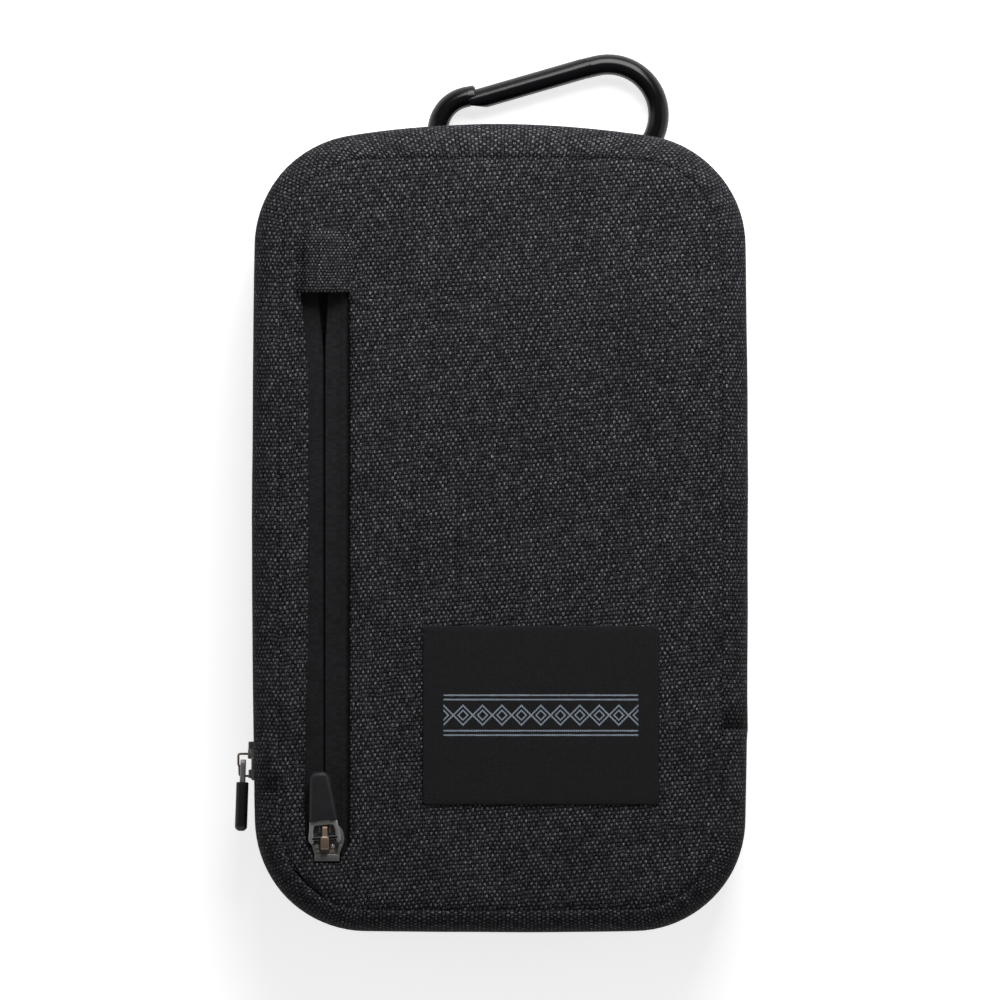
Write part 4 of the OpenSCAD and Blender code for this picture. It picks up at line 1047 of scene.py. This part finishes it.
def capEnds(bm):
    bmesh.ops.holes_fill(bm, edges=[e for e in bm.edges if e.is_boundary], sides=0)
    return closeShell(bm)


def drawHookBody():
    r = hook["rodR"]
    rows = [roundRow(nose + along * d, lean + pi, r * s) for d, s in ((0.0, 0.97), (-0.05, 1.0), (-0.2, 1.0),
                                                                           (-0.5, 1.0))]
    for k in range(25):
        a = lean + pi / 2 + (pi - lean) * k / 24
        rows.append(roundRow(small + Vector((cos(a), sin(a))) * hook["smallR"], a + pi / 2, r))
    for k in range(1, 6):
        rows.append(roundRow(Vector((small.x + reach.x * k / 6, hook["spineY"])), 0.0, r))
    for k in range(33):
        a = -pi / 2 + (pi + lean) * k / 32
        rows.append(roundRow(large + Vector((cos(a), sin(a))) * hook["largeR"], a + pi / 2, r))
    # the end is hollowed to the round of the gate's hinge
    for d in (2.6, 1.2):
        rows.append(roundRow(pivot + along * (r + d * 0.3), lean + pi, r))
    hollow = r + hook["seam"]
    rows.append(roundRow(pivot, lean + pi, r, shape=lambda v: -sqrt(max(0.0, hollow ** 2 - v * v))))
    bm = capEnds(clothFromRows(rows, closed=True))
    # the lip over the gate: the outer half of the rod, run on and rounded off
    lip = []
    for d, s in hook["lip"]:
        centre = nose + along * d - away * hook["lipDrop"]
        row = []
        for k in range(17):
            t = pi * k / 16
            point = centre + away * (r * s * sin(t))
            row.append(Vector((point.x, point.y, hook["z"] + r * s * cos(t))))
        lip.append(row)
    mergeInto(bm, capEnds(clothFromRows(lip, closed=True)))
    # the tongue that carries the gate's pin
    bmesh.ops.create_cone(bm, cap_ends=True, segments=24, radius1=hook["tongueR"], radius2=hook["tongueR"],
                          depth=hook["tongueThick"], matrix=Matrix.Translation((pivot.x, pivot.y, hook["z"])))
    return bm


def drawGate():
    r = hook["rodR"]
    length = (pivot - gateEnd).length
    ahead = (pivot - gateEnd) / length
    heading = atan2(ahead.y, ahead.x)
    under = hook["drop"] - hook["seam"]
    rows = []
    for d, s in ((-0.2, 0.95), (-0.15, 0.985), (0.0, 1.0), (0.5, 1.0), (0.9, 1.0), (1.42, 1.0)):
        rows.append(roundRow(gateEnd + ahead * d, heading, r * s, under, hook["chamfer"] * (1 - d / 3) - r * d / 3))
    for d in (1.47, 1.6, 1.8, 2.1, 2.4, 2.7, 3, 4, 8, 12, 16, length - 2.5):
        rows.append(roundRow(gateEnd + ahead * d, heading, r, floor=hook["chamfer"] * (1 - d / 3) - r * d / 3))
    rows.append(roundRow(pivot, heading, r, shape=lambda v: sqrt(max(0.0, r * r - v * v))))
    return capEnds(clothFromRows(rows, closed=True))


addPiece("hook_body", drawHookBody(), "hook", lacquer)
addPiece("hook_gate", drawGate(), "gate", lacquer)
finishCopy("gate_pin", "hook", steel, 0.1, 2)
finishCopy("gate_spring", "gate", steel, 0, 2, False)
print("hard parts made")


# Floor, light and camera

# white paper under the pouch, a little tilted so that it touches the pouch's lowest edge and the hook
paperFloor = {"half": 1.5, "tilt": 2.482, "pivotY": -78.6 * mm}
bm = bmesh.new()
bmesh.ops.create_grid(bm, x_segments=1, y_segments=1, size=paperFloor["half"])
for vert in bm.verts:
    vert.co.z = (paperFloor["pivotY"] - vert.co.y) * tan(radians(paperFloor["tilt"]))
mesh = meshFrom(bm, "paperFloor")
mesh.materials.append(paper)
floor = addObject("paperFloor", mesh)

# the studio: white to the camera, and in reflections white round the horizon under a dim ceiling
studio = {"fill": 0.1, "ceiling": 0.1, "low": 0.2, "high": 0.5}
world = bpy.data.worlds.new("studio")
bpy.context.scene.world = world
world.use_nodes = True
tree = world.node_tree
tree.nodes.clear()
rays = addNode(tree, "LightPath").outputs
heading = addNode(tree, "SeparateXYZ", [addNode(tree, "TexCoord").outputs["Generated"]])
wall = addNode(tree, "MapRange", [heading.outputs[2], studio["low"], studio["high"], 1.0, studio["ceiling"]])
seen = rays["Is Glossy Ray"]
for operation, other in (("MAXIMUM", rays["Is Transmission Ray"]), ("MULTIPLY", wall),
                         ("MAXIMUM", rays["Is Camera Ray"]), ("MAXIMUM", studio["fill"])):
    seen = addNode(tree, "Math", [seen, other], operation=operation)
sky = addNode(tree, "Background", {"Color": (1, 1, 1, 1), "Strength": seen})
addNode(tree, "OutputWorld", {"Surface": sky})

# place, side and watts of each soft box; all of them face the origin
lamps = {"key": ((0.06, 0.3, 0.24), 0.25, 1.44), "left": ((-0.75, 0.05, 0.5), 0.5, 0.45),
         "right": ((0.75, 0.0, 0.5), 0.5, 0.45), "front": ((0.0, -0.7, 0.35), 0.5, 0.35)}
for name, (place, size, power) in lamps.items():
    data = bpy.data.lights.new(name, "AREA")
    data.shape = "SQUARE"
    data.size = size
    data.energy = power
    lamp = addObject(name, data)
    lamp.location = place
    lamp.rotation_euler = (-Vector(place)).to_track_quat("-Z", "Y").to_euler()

# far off, as the photograph shows no side walls; 4.86 pixels a millimetre at half depth
photo = {"lens": 1400, "sensor": 36, "clip": 50, "place": (0, 5.8 * mm, 8.014)}
view = bpy.data.cameras.new("photoView")
view.lens = photo["lens"]
view.sensor_width = photo["sensor"]
view.clip_end = photo["clip"]
camera = addObject("photoView", view)
camera.location = photo["place"]
bpy.context.scene.camera = camera
bpy.context.scene.view_settings.view_transform = "Standard"
print("stage made")
